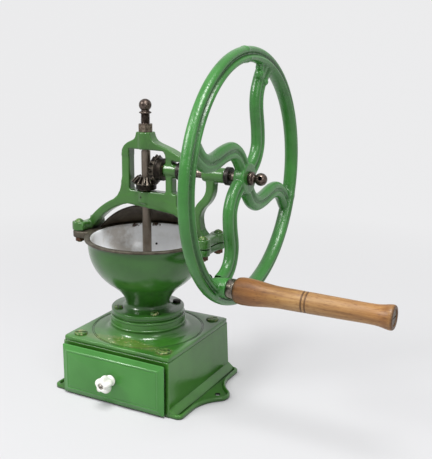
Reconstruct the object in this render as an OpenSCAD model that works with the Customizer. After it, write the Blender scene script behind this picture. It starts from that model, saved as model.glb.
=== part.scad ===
// Counter-top coffee mill: cast base with a drawer, open hopper, bevel gears and a side flywheel.
// Z is up, the drawer faces -Y, the drive shaft runs along X to the flywheel on the +X side.
// The origin is on the surface the mill stands on, under the spindle's axis.

/* [Base] */
// Outer width of the base at the top of its walls
base_w = 150; // [144:1:160]
// Outer depth of the base at the top of its walls
base_d = 150; // [144:1:160]
// Height of the base walls
wall_h = 67; // [64:1:80]
// Thickness of the base walls at their top
wall_t = 4.5; // [3.5:0.5:6]
// How far each wall leans out between its top and its foot
wall_draft = 2; // [0.5:0.5:3]
// Thickness of the floor sheet
floor_t = 1.5; // [1:0.5:2.5]
// Depth of the corner posts that take the plate screws
post_h = 14; // [12:1:16]
// Width of a corner post, measured from the wall's inner face
post_w = 18; // [16:1:22]
// Height of the rail across the front, over the drawer
rail_h = 9; // [6:0.5:12]

/* [Feet] */
// Reach of a foot flange beyond the wall's foot
foot_reach = 15; // [13:1:18]
// Reach of the screw lug beyond the wall's foot
lug_reach = 38; // [36:1:42]
// Radius of the lug's round end
lug_r = 15; // [12:1:17]
// Radius of the hollow curve between lug and flange
lug_cove_r = 20; // [16:1:26]
// Height of the raised rim round a foot
foot_rim_h = 5; // [4:0.5:7]
// Width of that rim
foot_rim_w = 3; // [2:0.5:4]
// Thickness of the web inside the rim
foot_web_t = 3; // [2:0.5:3.5]
// Height at which the sloped strip meets the wall
strip_h = 10; // [8:1:14]
// Reach of the sloped strip from the wall's foot
strip_w = 8.5; // [6:0.5:10]
// Diameter of the screw hole in a lug
foot_hole_d = 7; // [5:0.5:9]

/* [Top plate and chamber] */
// Thickness of the top plate
plate_t = 5.6; // [4:0.2:8]
// Radius of the ring cut into the plate
ring_r = 69; // [62:1:71]
// Width of that ring
ring_w = 1.6; // [1:0.2:2.4]
// Depth of that ring
ring_depth = 0.7; // [0.4:0.1:1.2]
// Spacing of the plate's corner screws
plate_screw_pitch = 120; // [112:1:122]
// Thread diameter of the plate's corner screws
plate_screw_d = 7; // [6:0.5:8]
// Head diameter of the plate's corner screws
plate_screw_head_d = 16; // [13:0.5:17]
// Outer radius of the grinding chamber
chamber_r = 46.5; // [44:0.5:50]
// Height of the chamber above the plate
chamber_h = 21.2; // [18:0.2:28]
// Radius of the bore that holds the outer burr
chamber_bore_r = 30; // [28:0.5:31]
// Width of the ledge under the outer burr
burr_ledge_w = 3; // [2:0.5:4]
// Radius of the cove between chamber and plate
chamber_cove_r = 9; // [5:0.5:11]
// Radius of the bead round the chamber
chamber_bead_r = 1.3; // [0.8:0.1:1.8]

/* [Hopper] */
// Radius of the hopper's flange
flange_r = 45.4; // [43:0.2:48]
// Thickness of the hopper's flange
flange_t = 8; // [6:0.5:10]
// Circle radius of the flange screws
flange_screw_r = 37.5; // [35.5:0.5:39]
// Thread diameter of the flange screws
flange_screw_d = 5; // [4:0.5:6]
// Height of the hopper above its flange
hopper_h = 90; // [86:1:100]
// Outer radius of the bowl
bowl_r = 72.3; // [68:0.5:74]
// Wall thickness of the bowl
bowl_t = 4; // [3:0.5:5]
// Straight height of the bowl below its rim
bowl_skirt = 9.5; // [8:0.5:12]
// Outer radius of the rim lip
rim_r = 76.5; // [75:0.5:78]
// Height of the rim lip
rim_t = 3.2; // [2:0.2:5]
// Radius of the neck at its waist
neck_r = 27.2; // [25.5:0.1:29]
// Flare of the neck where it meets the bowl
neck_flare = 18; // [14:0.5:20]
// Depth of the bowl below its straight part, were it closed under the neck
bowl_deep = 64.5; // [60:0.5:68]
// Radius of the throat through the neck
throat_r = 20; // [17:0.5:21]
// Distance of the ear bolts from the spindle's axis, along X
ear_x = 89; // [88:0.5:94]
// Distance of the ear bolts from the spindle's axis, along Y
ear_y = 18.5; // [16:0.5:22]
// Radius of an ear's boss
ear_r = 8; // [7:0.5:8.5]
// Thickness of the hopper's ears
ear_t = 8.5; // [7:0.5:11]
// Thread diameter of the ear bolts
ear_bolt_d = 6; // [5:0.5:7]

/* [Bridge] */
// Thickness of the bridge, front to back
bridge_t = 16; // [15:0.5:18]
// Height of the arch's crown above the hopper's rim
arch_rise = 42; // [40:0.5:48]
// Radius of the arch's underside
arch_r = 95.5; // [95:0.5:100]
// Depth of the arch's band
arch_band = 10.5; // [9:0.5:13]
// Height of the bridge's feet
foot_pad_h = 11.5; // [9:0.5:14]
// Height of the lower spindle boss above the arch's crown
low_boss_h = 15; // [12:0.5:18]
// Height of the gear window
window_h = 50; // [48:0.5:56]
// Distance from the spindle's axis to the window's left side
window_left = 22; // [20.5:0.5:25]
// Distance from the spindle's axis to the window's right side
window_right = 33; // [31:0.5:34]
// Width of the window's left post
left_post_w = 9; // [7:0.5:12]
// Width of the window's right post
right_post_w = 13; // [10:0.5:16]
// Height of the top boss above the window
top_boss_h = 21; // [19:0.5:26]
// Radius of the spindle bosses
boss_r = 9.6; // [9.2:0.2:11]
// Depth of the bar over the window
top_bar_h = 10; // [8:0.5:12]
// Radius of the bearing bosses on the drive shaft
bearing_r = 8.6; // [8.2:0.2:10]
// Length of the inner bearing boss
inner_bearing_l = 19; // [14:0.5:19]
// Distance from the spindle's axis to the outer bearing boss
outer_bearing_x = 80; // [76:0.5:84]
// Length of the outer bearing boss
outer_bearing_l = 29; // [24:0.5:30]
// Width of the arm that carries the outer bearing
arm_w = 10; // [8:0.5:12]
// Distance from the spindle's axis to the arm's foot
arm_x = 72; // [68:0.5:75]

/* [Spindle] */
// Diameter of the spindle
spindle_d = 11; // [10:0.2:12]
// Diameter of the spindle's upper journal
journal_d = 9; // [8:0.2:9.6]
// Diameter of the spindle where it carries the burr
burr_seat_d = 10; // [9:0.2:10.6]
// Diameter of the spindle's foot
step_d = 8; // [6:0.2:8.6]
// Wall thickness of the bushes
bush_t = 1.7; // [1.2:0.1:2]

/* [Grind adjuster] */
// Thread diameter of the adjusting screw
adjuster_d = 10; // [9:0.2:10.4]
// Half of the screw's travel up and down
adjuster_travel = 0.65; // [0.4:0.05:0.8]
// Thickness of the thrust pad
thrust_pad_t = 2.8; // [2:0.2:4]
// Width across the flats of the lock nut
lock_nut_af = 16; // [14:0.5:18]
// Thickness of the lock nut
lock_nut_t = 9; // [7:0.5:11]
// Length of the screw's neck above the lock nut
adjuster_neck = 11; // [9:0.5:14]
// Radius of the screw's ball head
adjuster_ball_r = 7.5; // [6.5:0.1:8.5]
// Radius of the flange under the ball
adjuster_flange_r = 7.4; // [6.5:0.1:8.5]

/* [Gears] */
// Number of teeth on each bevel gear
gear_teeth = 14; // [12:1:16]
// Pitch radius of each bevel gear at its large end
gear_r = 16.5; // [15.5:0.1:17]
// Length of the teeth
tooth_l = 9.5; // [8:0.5:10.5]
// Height of a tooth above the pitch cone
tooth_add = 1.7; // [1.3:0.1:1.8]
// Depth of a tooth below the pitch cone
tooth_ded = 2.8; // [2.7:0.1:3.2]
// Share of the pitch that a tooth fills
tooth_fill = 0.34; // [0.28:0.01:0.36]
// Radius of the pinion's hub
pinion_hub_r = 12.4; // [10.5:0.1:13]
// Radius of the bevel wheel's hub
wheel_hub_r = 13.4; // [10.5:0.1:14]
// Diameter of the cross pins
pin_d = 3.5; // [2.5:0.1:4]

/* [Burrs] */
// Height of the outer burr
outer_burr_h = 22; // [18:0.5:22]
// Inner radius of the outer burr at its foot
burr_mouth_r = 22; // [20:0.5:22.5]
// Gap between the burrs at their foot
burr_gap = 0.6; // [0.5:0.1:1]
// Flare of both burrs from foot to top
burr_flare = 4; // [3:0.5:5]
// Height of the inner burr
inner_burr_h = 20; // [16:0.5:20]
// Number of flutes on each burr
burr_flutes = 12; // [8:1:16]
// Depth of a flute
flute_depth = 1.6; // [1:0.1:2]

/* [Drive shaft] */
// Diameter of the drive shaft
shaft_d = 11; // [10:0.2:12]
// Height of the shaft above the hopper's rim
shaft_rise = 84.3; // [82:0.1:92]
// Radius of the shaft collars
collar_r = 10.6; // [9.5:0.1:12]
// Thickness of the shaft collars
collar_t = 5.2; // [4:0.2:6]

/* [Flywheel] */
// Radius of the rim's centre line
wheel_r = 136; // [132:1:142]
// Distance from the spindle's axis to the rim's middle plane
wheel_x = 133; // [132:0.5:138]
// Radius of the rim's section
rim_tube_r = 8.7; // [7.5:0.1:9.5]
// Radius of the groove on each face of the rim
rim_groove_r = 1.3; // [0.8:0.1:1.8]
// Width of a spoke
spoke_w = 20; // [17:0.5:21]
// Thickness of a spoke
spoke_t = 12; // [11:0.5:12.5]
// Radius of a spoke's first bend
spoke_r1 = 32; // [30:0.5:34]
// Radius of a spoke's second bend
spoke_r2 = 70; // [66:0.5:74]
// Turn of a spoke past its widest point
spoke_turn = 24.3; // [22:0.1:27]
// Sideways offset of the first bend's centre
spoke_shift = 2.5; // [1:0.5:4]
// Height of the first bend's centre above the hub
spoke_lift = 40; // [38:0.5:42]
// Radius of the hub
hub_r = 18; // [16:0.5:20]
// Length of the hub
hub_l = 14; // [13:0.5:18]
// Width of the hub's key
key_w = 4; // [3:0.5:5]
// Radius of the ball on the wheel screw
wheel_ball_r = 7.2; // [6.2:0.1:8]
// Radius of the wheel screw's flange
wheel_flange_r = 7.8; // [7:0.1:9]
// Diameter of the cross hole through the wheel screw's ball
tommy_d = 3.6; // [3:0.1:4.5]

/* [Handle] */
// Distance of the handle from the shaft's axis
handle_r = 128.5; // [126:0.5:134]
// Place of the handle round the rim, clockwise from the top as seen from +X
handle_angle = 213.3; // [205:0.1:220]
// Diameter of the handle rod
rod_d = 8; // [7:0.2:9]
// Radius of the boss that carries the rod
rod_boss_r = 11.6; // [11:0.2:12.4]
// Height of that boss above the rim's middle plane
rod_boss_h = 16; // [13:0.5:18]
// Thickness of the ferrule
ferrule_t = 10; // [8:0.5:12]
// Radius of the ferrule
ferrule_r = 12; // [11:0.2:13]
// Length of the wooden grip
grip_l = 169; // [150:1:180]
// Largest radius of the grip, near the ferrule
grip_bulb_r = 14.8; // [14:0.2:17]
// Radius of the grip's waist
grip_waist_r = 10.6; // [10:0.2:12]
// Radius of the grip's outer end
grip_end_r = 12.4; // [12:0.2:14]

/* [Drawer] */
// Width of the drawer front
front_w = 144.5; // [142:0.5:146]
// Height of the drawer front
front_h = 63; // [58:0.5:64]
// Thickness of the drawer front
front_t = 4.5; // [4:0.5:6]
// Width of the bevel round the drawer front
front_bevel = 7; // [5:0.5:9]
// Gap between the drawer front and the base, as photographed
front_gap = 2.5; // [1:0.5:4]
// Height of the tray
tray_h = 42; // [34:1:44]
// Sheet thickness of the tray
tray_t = 1.4; // [1:0.1:2]
// Length of the knob
knob_l = 21; // [18:0.5:25]
// Radius of the knob's lobes
knob_lobe_r = 5.4; // [4.8:0.1:5.8]
// Circle radius on which the lobes sit
knob_lobe_ring_r = 5.6; // [5:0.1:6.2]
// Number of lobes
knob_lobes = 5; // [5:1:6]

/* [Lid] */
// Radius of the half dome at its foot
lid_r = 75.4; // [74:0.2:76]
// Height of the half dome
lid_rise = 36.5; // [34:0.5:38]
// Sheet thickness of the half dome
lid_t = 1.6; // [1.2:0.2:2]

/* [Hidden] */
$fn = 64;

// Clearances: a running fit, a seated fit, a gap between pieces that pass, and an overlap for cuts
run = 0.05;
seat = 0.03;
pass = 0.4;
cut = 1;

// Heights, from the surface up
plate_top = wall_h + plate_t;
chamber_top = plate_top + chamber_h;
flange_top = chamber_top + flange_t;
rim_z = flange_top + hopper_h;
bowl_z = rim_z - bowl_skirt;
shaft_z = rim_z + shaft_rise;
arch_z = rim_z + arch_rise - arch_r;
crown_z = rim_z + arch_rise;
window_z = crown_z + low_boss_h;
window_top = window_z + window_h;
boss_top = window_top + top_boss_h;

// Base
bay_w = base_w - 2 * wall_t;
bay_back = base_d / 2 - wall_t;
wall_foot_x = base_w / 2 + wall_draft;
wall_foot_y = base_d / 2 + wall_draft;
lug_x = wall_foot_x + lug_reach - lug_r;

// Spindle and burrs
spindle_r = spindle_d / 2;
journal_r = journal_d / 2;
burr_seat_r = burr_seat_d / 2;
step_r = step_d / 2;
bush_r = spindle_r + run + bush_t;
top_bush_r = journal_r + run + bush_t;
burr_z = plate_top - 2.6;
bar_t = 8;
bar_drop = 2;
footstep_screw_d = 4;
bar_w = 16;
bar_top = wall_h - bar_drop;
bar_screw_x = chamber_bore_r + 5;
burr_nut_t = 4.5;
burr_nut_af = 15;
inner_burr_z = bar_top + adjuster_travel + 2 * pass + burr_nut_t;

// Top of the spindle: bush, thrust pad, adjusting screw and lock nut
pad_room = adjuster_travel + pass;
top_bush_l = top_boss_h - thrust_pad_t - 2 * pad_room - 5;
pad_z = window_top + top_bush_l + pad_room + seat;
screw_tip_z = pad_z + thrust_pad_t + seat;
bore_top = pad_z + thrust_pad_t + pad_room;
nut_z = boss_top + seat;
neck_z = nut_z + lock_nut_t + adjuster_travel + pass;
adjuster_flange_t = 3;
ball_z = neck_z + adjuster_neck + adjuster_flange_t + adjuster_ball_r * 0.95;

// Gears: both pitch cones are 45 degrees and share their tip on the two axes' crossing
cone_l = gear_r * sqrt(2);
gear_scale = (cone_l - tooth_l) / cone_l;
pinion_z = shaft_z - gear_r;
hub_foot_z = window_z + adjuster_travel + 2 * pass;

// Drive shaft
shaft_r = shaft_d / 2;
shaft_bush_r = shaft_r + run + bush_t;
inner_bearing_x = gear_r + 10.6;
wheel_hub_end = inner_bearing_x - pass;
shaft_x0 = gear_r * gear_scale + 1.2;
inner_collar_x = inner_bearing_x + inner_bearing_l + pass;
outer_collar_x = outer_bearing_x + outer_bearing_l + pass;

// Flywheel
spoke_set = 1;
spoke_x = wheel_x - spoke_set;
spoke_step = 2.5;
spoke_groove_w = 2.6;
hub_x1 = spoke_x + spoke_t / 2;
hub_x0 = hub_x1 - hub_l;
shaft_x1 = hub_x1 - 1.5;
spoke_c1 = [spoke_shift, spoke_lift];
spoke_c2 = spoke_c1 + (spoke_r1 + spoke_r2) * [cos(spoke_turn), sin(spoke_turn)];
spoke_end = 140;
wheel_flange_t = 4.5;
wheel_neck_l = 3;
wheel_ball_x = hub_x1 + wheel_flange_t + wheel_neck_l + wheel_ball_r * 0.85;

// Handle
rod_r = rod_d / 2;
handle_y = handle_r * sin(handle_angle);
handle_z = shaft_z + handle_r * cos(handle_angle);
rod_boss_foot = 0.6;
rod_boss_x0 = wheel_x - rim_tube_r - rod_boss_foot;
rod_boss_x1 = wheel_x + rod_boss_h;
handle_nut_t = 6;
handle_nut_af = 14;
ferrule_x = rod_boss_x1 + seat;
grip_x0 = ferrule_x + ferrule_t + pass;
grip_x1 = grip_x0 + grip_l;
end_recess = 5;
end_recess_r = 8.4;
end_nut_r = 7.6;
end_nut_t = 3.6;
rod_x0 = rod_boss_x0 - handle_nut_t - 2;
rod_x1 = grip_x1 - end_recess + pass + end_nut_t - 0.6;

// Drawer
front_y = -wall_foot_y - front_gap;
front_face_y = front_y - front_t;
front_z = 1.7;
front_mid_z = front_z + front_h / 2;
runner_gap = 0.25;
tray_w = bay_w - 3;
tray_z = floor_t + runner_gap;
tray_back = bay_back - 3 * front_gap + 2;
knob_screw_d = 4;
rivet_d = 4;
rivet_x = 50;
rivet_z = tray_z + tray_h - 9;
knob_flange_r = 7.4;
knob_stem_r = 5.6;
knob_head_t = 14;
knob_round_r = knob_lobe_ring_r + knob_lobe_r + 0.6;
knob_head_y = front_face_y - knob_l + knob_head_t / 2;
knob_tip_y = knob_head_y - knob_head_t / 2;

// Lid
lid_z = rim_z + 0.3;
lid_sphere_r = (lid_r * lid_r + lid_rise * lid_rise) / (2 * lid_rise);
lid_edge_y = spindle_r + 1;
lid_bead_r = 1.4;

// Points along an arc of a circle
function arc(centre, r, a0, a1, steps) =
    [for (i = [0:steps]) centre + r * [cos(a0 + (a1 - a0) * i / steps), sin(a0 + (a1 - a0) * i / steps)]];

// A rod along +X from x0 to x1, at a place in Y and Z
module rod_x(x0, x1, r, y = 0, z = shaft_z) {
    translate([x0, y, z]) rotate([0, 90, 0]) cylinder(r = r, h = x1 - x0);
}

// A tube along +X, open at both ends
module tube_x(x0, x1, outer_r, inner_r) {
    difference() {
        rod_x(x0, x1, outer_r);
        rod_x(x0 - cut, x1 + cut, inner_r);
    }
}

// A tube along +Z, open at both ends
module tube_z(z0, z1, outer_r, inner_r) {
    difference() {
        translate([0, 0, z0]) cylinder(r = outer_r, h = z1 - z0);
        translate([0, 0, z0 - cut]) cylinder(r = inner_r, h = z1 - z0 + 2 * cut);
    }
}

// A hexagon nut standing on z = 0
module hex_nut(af, t, bore_r) {
    difference() {
        intersection() {
            cylinder(d = af / cos(30), h = t, $fn = 6);
            nut_chamfer(af, t);
        }
        translate([0, 0, -cut]) cylinder(r = bore_r, h = t + 2 * cut);
    }
}

// The turned-off corners of a hexagon nut
module nut_chamfer(af, t) {
    edge = af * 0.07;
    rotate_extrude()
        polygon([
            [0, 0], [af / 2 + edge / 2, 0], [af / 2 + 2 * edge, edge], [af / 2 + 2 * edge, t - edge],
            [af / 2 + edge / 2, t], [0, t]
        ]);
}

// A slotted screw: domed head on z = 0, shank pointing down
module slotted_screw(head_r, head_h, shank_r, shank_l, slot_w = 1.2, slot_depth = 1.1) {
    dome_r = (head_r * head_r + head_h * head_h) / (2 * head_h);
    difference() {
        union() {
            intersection() {
                translate([0, 0, head_h - dome_r]) sphere(r = dome_r);
                cylinder(r = head_r - 0.2, h = head_h + cut);
            }
            translate([0, 0, -shank_l]) cylinder(r = shank_r, h = shank_l + head_h / 2);
        }
        translate([-head_r, -slot_w / 2, head_h - slot_depth]) cube([2 * head_r, slot_w, slot_depth + cut]);
    }
}

// The four corner places of the plate screws
module at_plate_screws(z) {
    for (x = [-1, 1], y = [-1, 1])
        translate([x * plate_screw_pitch / 2, y * plate_screw_pitch / 2, z]) children();
}

// The four places of the hopper's flange screws
module at_flange_screws(z) {
    for (a = [45:90:315])
        rotate([0, 0, a]) translate([flange_screw_r, 0, z]) children();
}

// The four places of the ear bolts
module at_ear_bolts(z) {
    for (x = [-1, 1], y = [-1, 1])
        translate([x * ear_x, y * ear_y, z]) children();
}

// The two places of the footstep screws
module at_footstep_screws(z) {
    for (x = [-1, 1])
        translate([x * bar_screw_x, 0, z]) children();
}

// A wall-to-wall prism that leans out towards its foot, across a given top width
module drafted_prism(top_w, length) {
    rotate([90, 0, 0])
        linear_extrude(height = length, center = true)
            polygon([
                [-top_w / 2 - wall_draft, 0], [top_w / 2 + wall_draft, 0], [top_w / 2, wall_h], [-top_w / 2, wall_h]
            ]);
}

// Outline of the right foot, seen from above, drawn in by a margin
function foot_outline(inset) =
    let (
        half_d = wall_foot_y - inset,
        edge_x = wall_foot_x + foot_reach,
        cove_x = edge_x + lug_cove_r,
        cove_y = sqrt(pow(lug_r + lug_cove_r, 2) - pow(cove_x - lug_x, 2)),
        turn = atan2(cove_y, lug_x - cove_x)
    )
    concat(
        [[wall_foot_x - wall_t - inset, -half_d], [edge_x - inset, -half_d]],
        arc([cove_x, -cove_y], lug_cove_r + inset, 180, turn, 8),
        arc([lug_x, 0], lug_r - inset, turn - 180, 180 - turn, 16),
        arc([cove_x, cove_y], lug_cove_r + inset, 360 - turn, 180, 8),
        [[edge_x - inset, half_d], [wall_foot_x - wall_t - inset, half_d]]
    );

// One foot: web, raised rim and the sloped strip along the wall
module foot() {
    linear_extrude(height = foot_web_t) polygon(foot_outline(0));
    linear_extrude(height = foot_rim_h)
        difference() {
            polygon(foot_outline(0));
            polygon(foot_outline(foot_rim_w));
        }
    rotate([90, 0, 0])
        linear_extrude(height = 2 * wall_foot_y, center = true)
            polygon([
                [wall_foot_x - wall_t, 0], [wall_foot_x + strip_w, 0], [wall_foot_x + strip_w, foot_web_t],
                [wall_foot_x - wall_draft * strip_h / wall_h, strip_h], [wall_foot_x - wall_t, strip_h]
            ]);
}

module base_box() {
    color("forestgreen")
        difference() {
            union() {
                difference() {
                    union() {
                        intersection() {
                            drafted_prism(base_w, 2 * wall_foot_y);
                            rotate([0, 0, 90]) drafted_prism(base_d, 2 * wall_foot_x);
                        }
                        foot();
                        mirror([1, 0, 0]) foot();
                    }
                    translate([-bay_w / 2, -wall_foot_y - cut, -cut])
                        cube([bay_w, wall_foot_y + cut + bay_back, wall_h + 2 * cut]);
                }
                corner_posts();
                front_rail();
            }
            for (x = [-1, 1])
                translate([x * lug_x, 0, -cut]) cylinder(d = foot_hole_d, h = foot_rim_h + 2 * cut);
            at_plate_screws(wall_h - post_h + 2) cylinder(d = plate_screw_d + 2 * seat, h = post_h);
        }
}

// Blocks in the four top corners of the bay, under the plate
module corner_posts() {
    for (x = [-1, 1]) {
        translate([x * (bay_w - post_w + cut) / 2, 0, 0]) {
            translate([-post_w / 2, bay_back - post_w, wall_h - post_h])
                cube([post_w, post_w + cut, post_h]);
            translate([-post_w / 2, -base_d / 2, wall_h - post_h]) cube([post_w, post_w + wall_t, post_h]);
        }
    }
}

// Rail across the front of the bay, under the plate
module front_rail() {
    translate([-bay_w / 2 - cut, -base_d / 2, wall_h - rail_h]) cube([bay_w + 2 * cut, wall_t, rail_h]);
}

module floor_plate() {
    color("dimgray")
        translate([-bay_w / 2, -base_d / 2, 0]) cube([bay_w, base_d / 2 + bay_back, floor_t]);
}

// Turned form of the grinding chamber, from the plate up
module chamber_profile() {
    sink = 0.4;
    bead_z = plate_top + chamber_h / 2;
    difference() {
        union() {
            translate([0, plate_top - cut]) square([chamber_r, chamber_h + cut]);
            translate([chamber_r - cut, plate_top - cut]) square([chamber_cove_r + cut, chamber_cove_r + cut - sink]);
            translate([chamber_r, bead_z]) circle(r = chamber_bead_r);
        }
        translate([chamber_r + chamber_cove_r, plate_top + chamber_cove_r - sink]) circle(r = chamber_cove_r);
    }
}

module top_plate() {
    color("green")
        difference() {
            union() {
                translate([-base_w / 2, -base_d / 2, wall_h]) cube([base_w, base_d, plate_t]);
                rotate_extrude() chamber_profile();
            }
            translate([0, 0, burr_z]) cylinder(r = chamber_bore_r, h = chamber_h + plate_t + cut);
            translate([0, 0, wall_h - cut]) cylinder(r = chamber_bore_r - burr_ledge_w, h = plate_t + 2 * cut);
            rotate_extrude()
                translate([ring_r - ring_w / 2, plate_top - ring_depth]) square([ring_w, ring_depth + cut]);
            at_plate_screws(wall_h - cut) cylinder(d = plate_screw_d + 2 * seat, h = plate_t + 2 * cut);
            at_flange_screws(chamber_top - 2.4 * flange_screw_d)
                cylinder(d = flange_screw_d + 2 * seat, h = 2.4 * flange_screw_d + cut);
            at_footstep_screws(wall_h - cut) cylinder(r = 2 + seat, h = plate_t + 5 + cut);
        }
}

module plate_screws() {
    color("olivedrab")
        at_plate_screws(plate_top)
            rotate([0, 0, 35]) slotted_screw(plate_screw_head_d / 2, 2.4, plate_screw_d / 2, plate_t + post_h - 4);
}

// Points on the bowl's curve, from an angle off its foot to another
function bowl_curve(r, depth, a0, a1, steps) =
    [for (i = [0:steps])
        let (a = a0 + (a1 - a0) * i / steps)
        [r * sin(a), bowl_z - depth * cos(a)]];

// Outer turned form of the hopper: flange, hollow neck line, bowl and rim lip
module hopper_outer_profile() {
    steps = 10;
    neck_top_r = neck_r + neck_flare;
    join_a = asin(neck_top_r / bowl_r);
    join_z = bowl_z - bowl_deep * cos(join_a);
    waist_z = flange_top + 6;
    flare = [
        for (i = [0:steps])
            [neck_r + neck_flare * pow(i / steps, 1.7), waist_z + (join_z - waist_z) * i / steps]
    ];
    translate([0, chamber_top]) square([flange_r, flange_t]);
    polygon(concat(
        [
            [0, flange_top - cut], [neck_r + 5, flange_top - cut], [neck_r + 5, flange_top + 0.8],
            [neck_r + 1.6, flange_top + 2.6]
        ],
        flare, bowl_curve(bowl_r, bowl_deep, join_a + 3, 90, 14), [[0, bowl_z]]
    ));
    translate([0, bowl_z]) square([bowl_r, bowl_skirt]);
    translate([0, rim_z - rim_t]) square([rim_r, rim_t]);
}

// Inner turned form of the hopper: bowl, throat and the mouth over the burrs
module hopper_inner_profile() {
    inner_r = bowl_r - bowl_t;
    polygon(concat(bowl_curve(inner_r, bowl_deep - bowl_t, 0, 90, 18), [[0, bowl_z]]));
    translate([0, bowl_z]) square([inner_r, bowl_skirt + cut]);
    polygon([[0, rim_z - 2.4], [inner_r, rim_z - 2.4], [inner_r + 2.4, rim_z + 0.01], [0, rim_z + 0.01]]);
    translate([0, chamber_top - cut]) square([throat_r, bowl_z - chamber_top]);
    polygon([
        [0, chamber_top - cut], [chamber_bore_r - burr_ledge_w, chamber_top - cut],
        [chamber_bore_r - burr_ledge_w, chamber_top], [throat_r, flange_top], [0, flange_top]
    ]);
}

// Plan of one ear, or of one bridge foot, from an inner edge outwards
module ear_plan(inner_x) {
    for (y = [-1, 1])
        translate([ear_x, y * ear_y]) circle(r = ear_r);
    translate([inner_x, -ear_y]) square([ear_x + ear_r - 1 - inner_x, 2 * ear_y]);
}

module hopper() {
    color("forestgreen")
        difference() {
            union() {
                rotate_extrude() hopper_outer_profile();
                for (side = [0, 180])
                    rotate([0, 0, side])
                        translate([0, 0, rim_z - ear_t]) linear_extrude(height = ear_t) ear_plan(bowl_r - bowl_t);
            }
            rotate_extrude() hopper_inner_profile();
            at_ear_bolts(rim_z - ear_t - cut) cylinder(d = ear_bolt_d + 2 * seat, h = ear_t + 2 * cut);
            at_flange_screws(chamber_top - cut) cylinder(d = flange_screw_d + 2 * seat, h = flange_t + 2 * cut);
        }
}

module hopper_screws() {
    color("darkslategray")
        at_flange_screws(flange_top)
            slotted_screw(
                0.88 * flange_screw_d, 0.52 * flange_screw_d, flange_screw_d / 2, flange_t + 2 * flange_screw_d
            );
}

// Conical bore or cone of a burr: radius at the foot, widening or narrowing to the top
module burr_cone(z0, h, foot_r, top_r) {
    translate([0, 0, z0]) cylinder(r1 = foot_r, r2 = top_r, h = h);
}

module outer_burr() {
    color("gray")
        difference() {
            translate([0, 0, burr_z]) cylinder(r = chamber_bore_r - seat, h = outer_burr_h);
            burr_cone(burr_z - cut, outer_burr_h + 2 * cut, burr_mouth_r, burr_mouth_r + burr_flare);
            for (i = [0:burr_flutes - 1])
                rotate([0, 0, i * 360 / burr_flutes])
                    translate([burr_mouth_r + burr_flare - 1.2, 0, burr_z + outer_burr_h / 3])
                        rotate([0, 0, 45]) cube([2 * flute_depth, 2 * flute_depth, outer_burr_h]);
        }
}

module footstep_bar() {
    color("gray")
        difference() {
            union() {
                translate([-bar_screw_x - bar_w / 2, -bar_w / 2, bar_top - bar_t])
                    cube([2 * bar_screw_x + bar_w, bar_w, bar_t]);
                at_footstep_screws(bar_top - cut) cylinder(r = bar_w / 2 - 1, h = bar_drop + cut);
            }
            translate([0, 0, bar_top - bar_t - cut]) cylinder(r = step_r + run, h = bar_t + 2 * cut);
            at_footstep_screws(bar_top - bar_t - cut)
                cylinder(r = footstep_screw_d / 2 + seat, h = bar_t + bar_drop + 2 * cut);
        }
}

module footstep_screws() {
    color("silver")
        at_footstep_screws(bar_top - bar_t)
            rotate([180, 0, 0])
                slotted_screw(
                    0.9 * footstep_screw_d, footstep_screw_d / 2, footstep_screw_d / 2,
                    bar_t + bar_drop + plate_t + 0.75 * footstep_screw_d
                );
}

// Front view of the bridge's window frame, from the left post over the top to the sloping web
function frame_outline() =
    let (
        left_x = -window_left - left_post_w,
        right_x = window_right + right_post_w,
        shoulder_r = 14,
        bar_top_z = window_top + top_bar_h
    )
    concat(
        [[left_x, crown_z - 2]],
        arc([left_x + shoulder_r, bar_top_z - shoulder_r], shoulder_r, 180, 100, 8),
        [
            [-boss_r - 1, bar_top_z + 3.5], [-boss_r + 1, boss_top - 4], [-boss_r + 1, boss_top],
            [boss_r - 1, boss_top], [boss_r + 1, boss_top - 4]
        ],
        arc([boss_r + 14, bar_top_z + 14], 12, 200, 250, 5),
        [
            [window_right + 3, bar_top_z - 6.6], [right_x, bar_top_z - 12], [right_x + 8, bar_top_z - 15.4],
            [right_x + 8, shaft_z + collar_r + 3 * pass], [right_x, shaft_z + collar_r + 3 * pass],
            [right_x, crown_z - 22]
        ]
    );

// The gear window with rounded corners
module window_plan() {
    corner_r = 4;
    points = concat(
        arc([-window_left + corner_r, window_z + corner_r], corner_r, 180, 270, 5),
        arc([window_right - corner_r, window_z + corner_r], corner_r, 270, 360, 5),
        arc([window_right - corner_r, window_top - corner_r], corner_r, 0, 90, 5),
        arc([-window_left + corner_r, window_top - corner_r], corner_r, 90, 180, 5)
    );
    polygon(points);
}

// Front view of the S-shaped arm from the arch up to the outer bearing
function arm_outline() =
    let (
        top_x = outer_bearing_x + arm_w,
        turn = 48,
        bend_r = (top_x - arm_x) / (2 * (1 - cos(turn))),
        z1 = shaft_z - 14,
        z0 = z1 - 2 * bend_r * sin(turn),
        low = [arm_x + bend_r, z0],
        high = [top_x - bend_r, z1],
        half = arm_w / 2
    )
    concat(
        [[arm_x - half, rim_z + foot_pad_h]],
        arc(low, bend_r + half, 180, 180 - turn, 8),
        arc(high, bend_r - half, -turn, 0, 8),
        [[top_x - half, shaft_z], [top_x + half, shaft_z]],
        arc(high, bend_r + half, 0, -turn, 8),
        arc(low, bend_r - half, 180 - turn, 180, 8),
        [[arm_x + half, rim_z + foot_pad_h]]
    );

// The arch, as a band over the hopper from rim to rim
module arch_plan() {
    span = 2 * (arch_r + arch_band);
    intersection() {
        translate([0, arch_z]) circle(r = arch_r + arch_band);
        translate([-span / 2, rim_z]) square([span, span]);
    }
}

// Extrudes a front view, drawn in X and Z, to a thickness along Y
module upright(t) {
    rotate([90, 0, 0]) linear_extrude(height = t, center = true) children();
}

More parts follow.
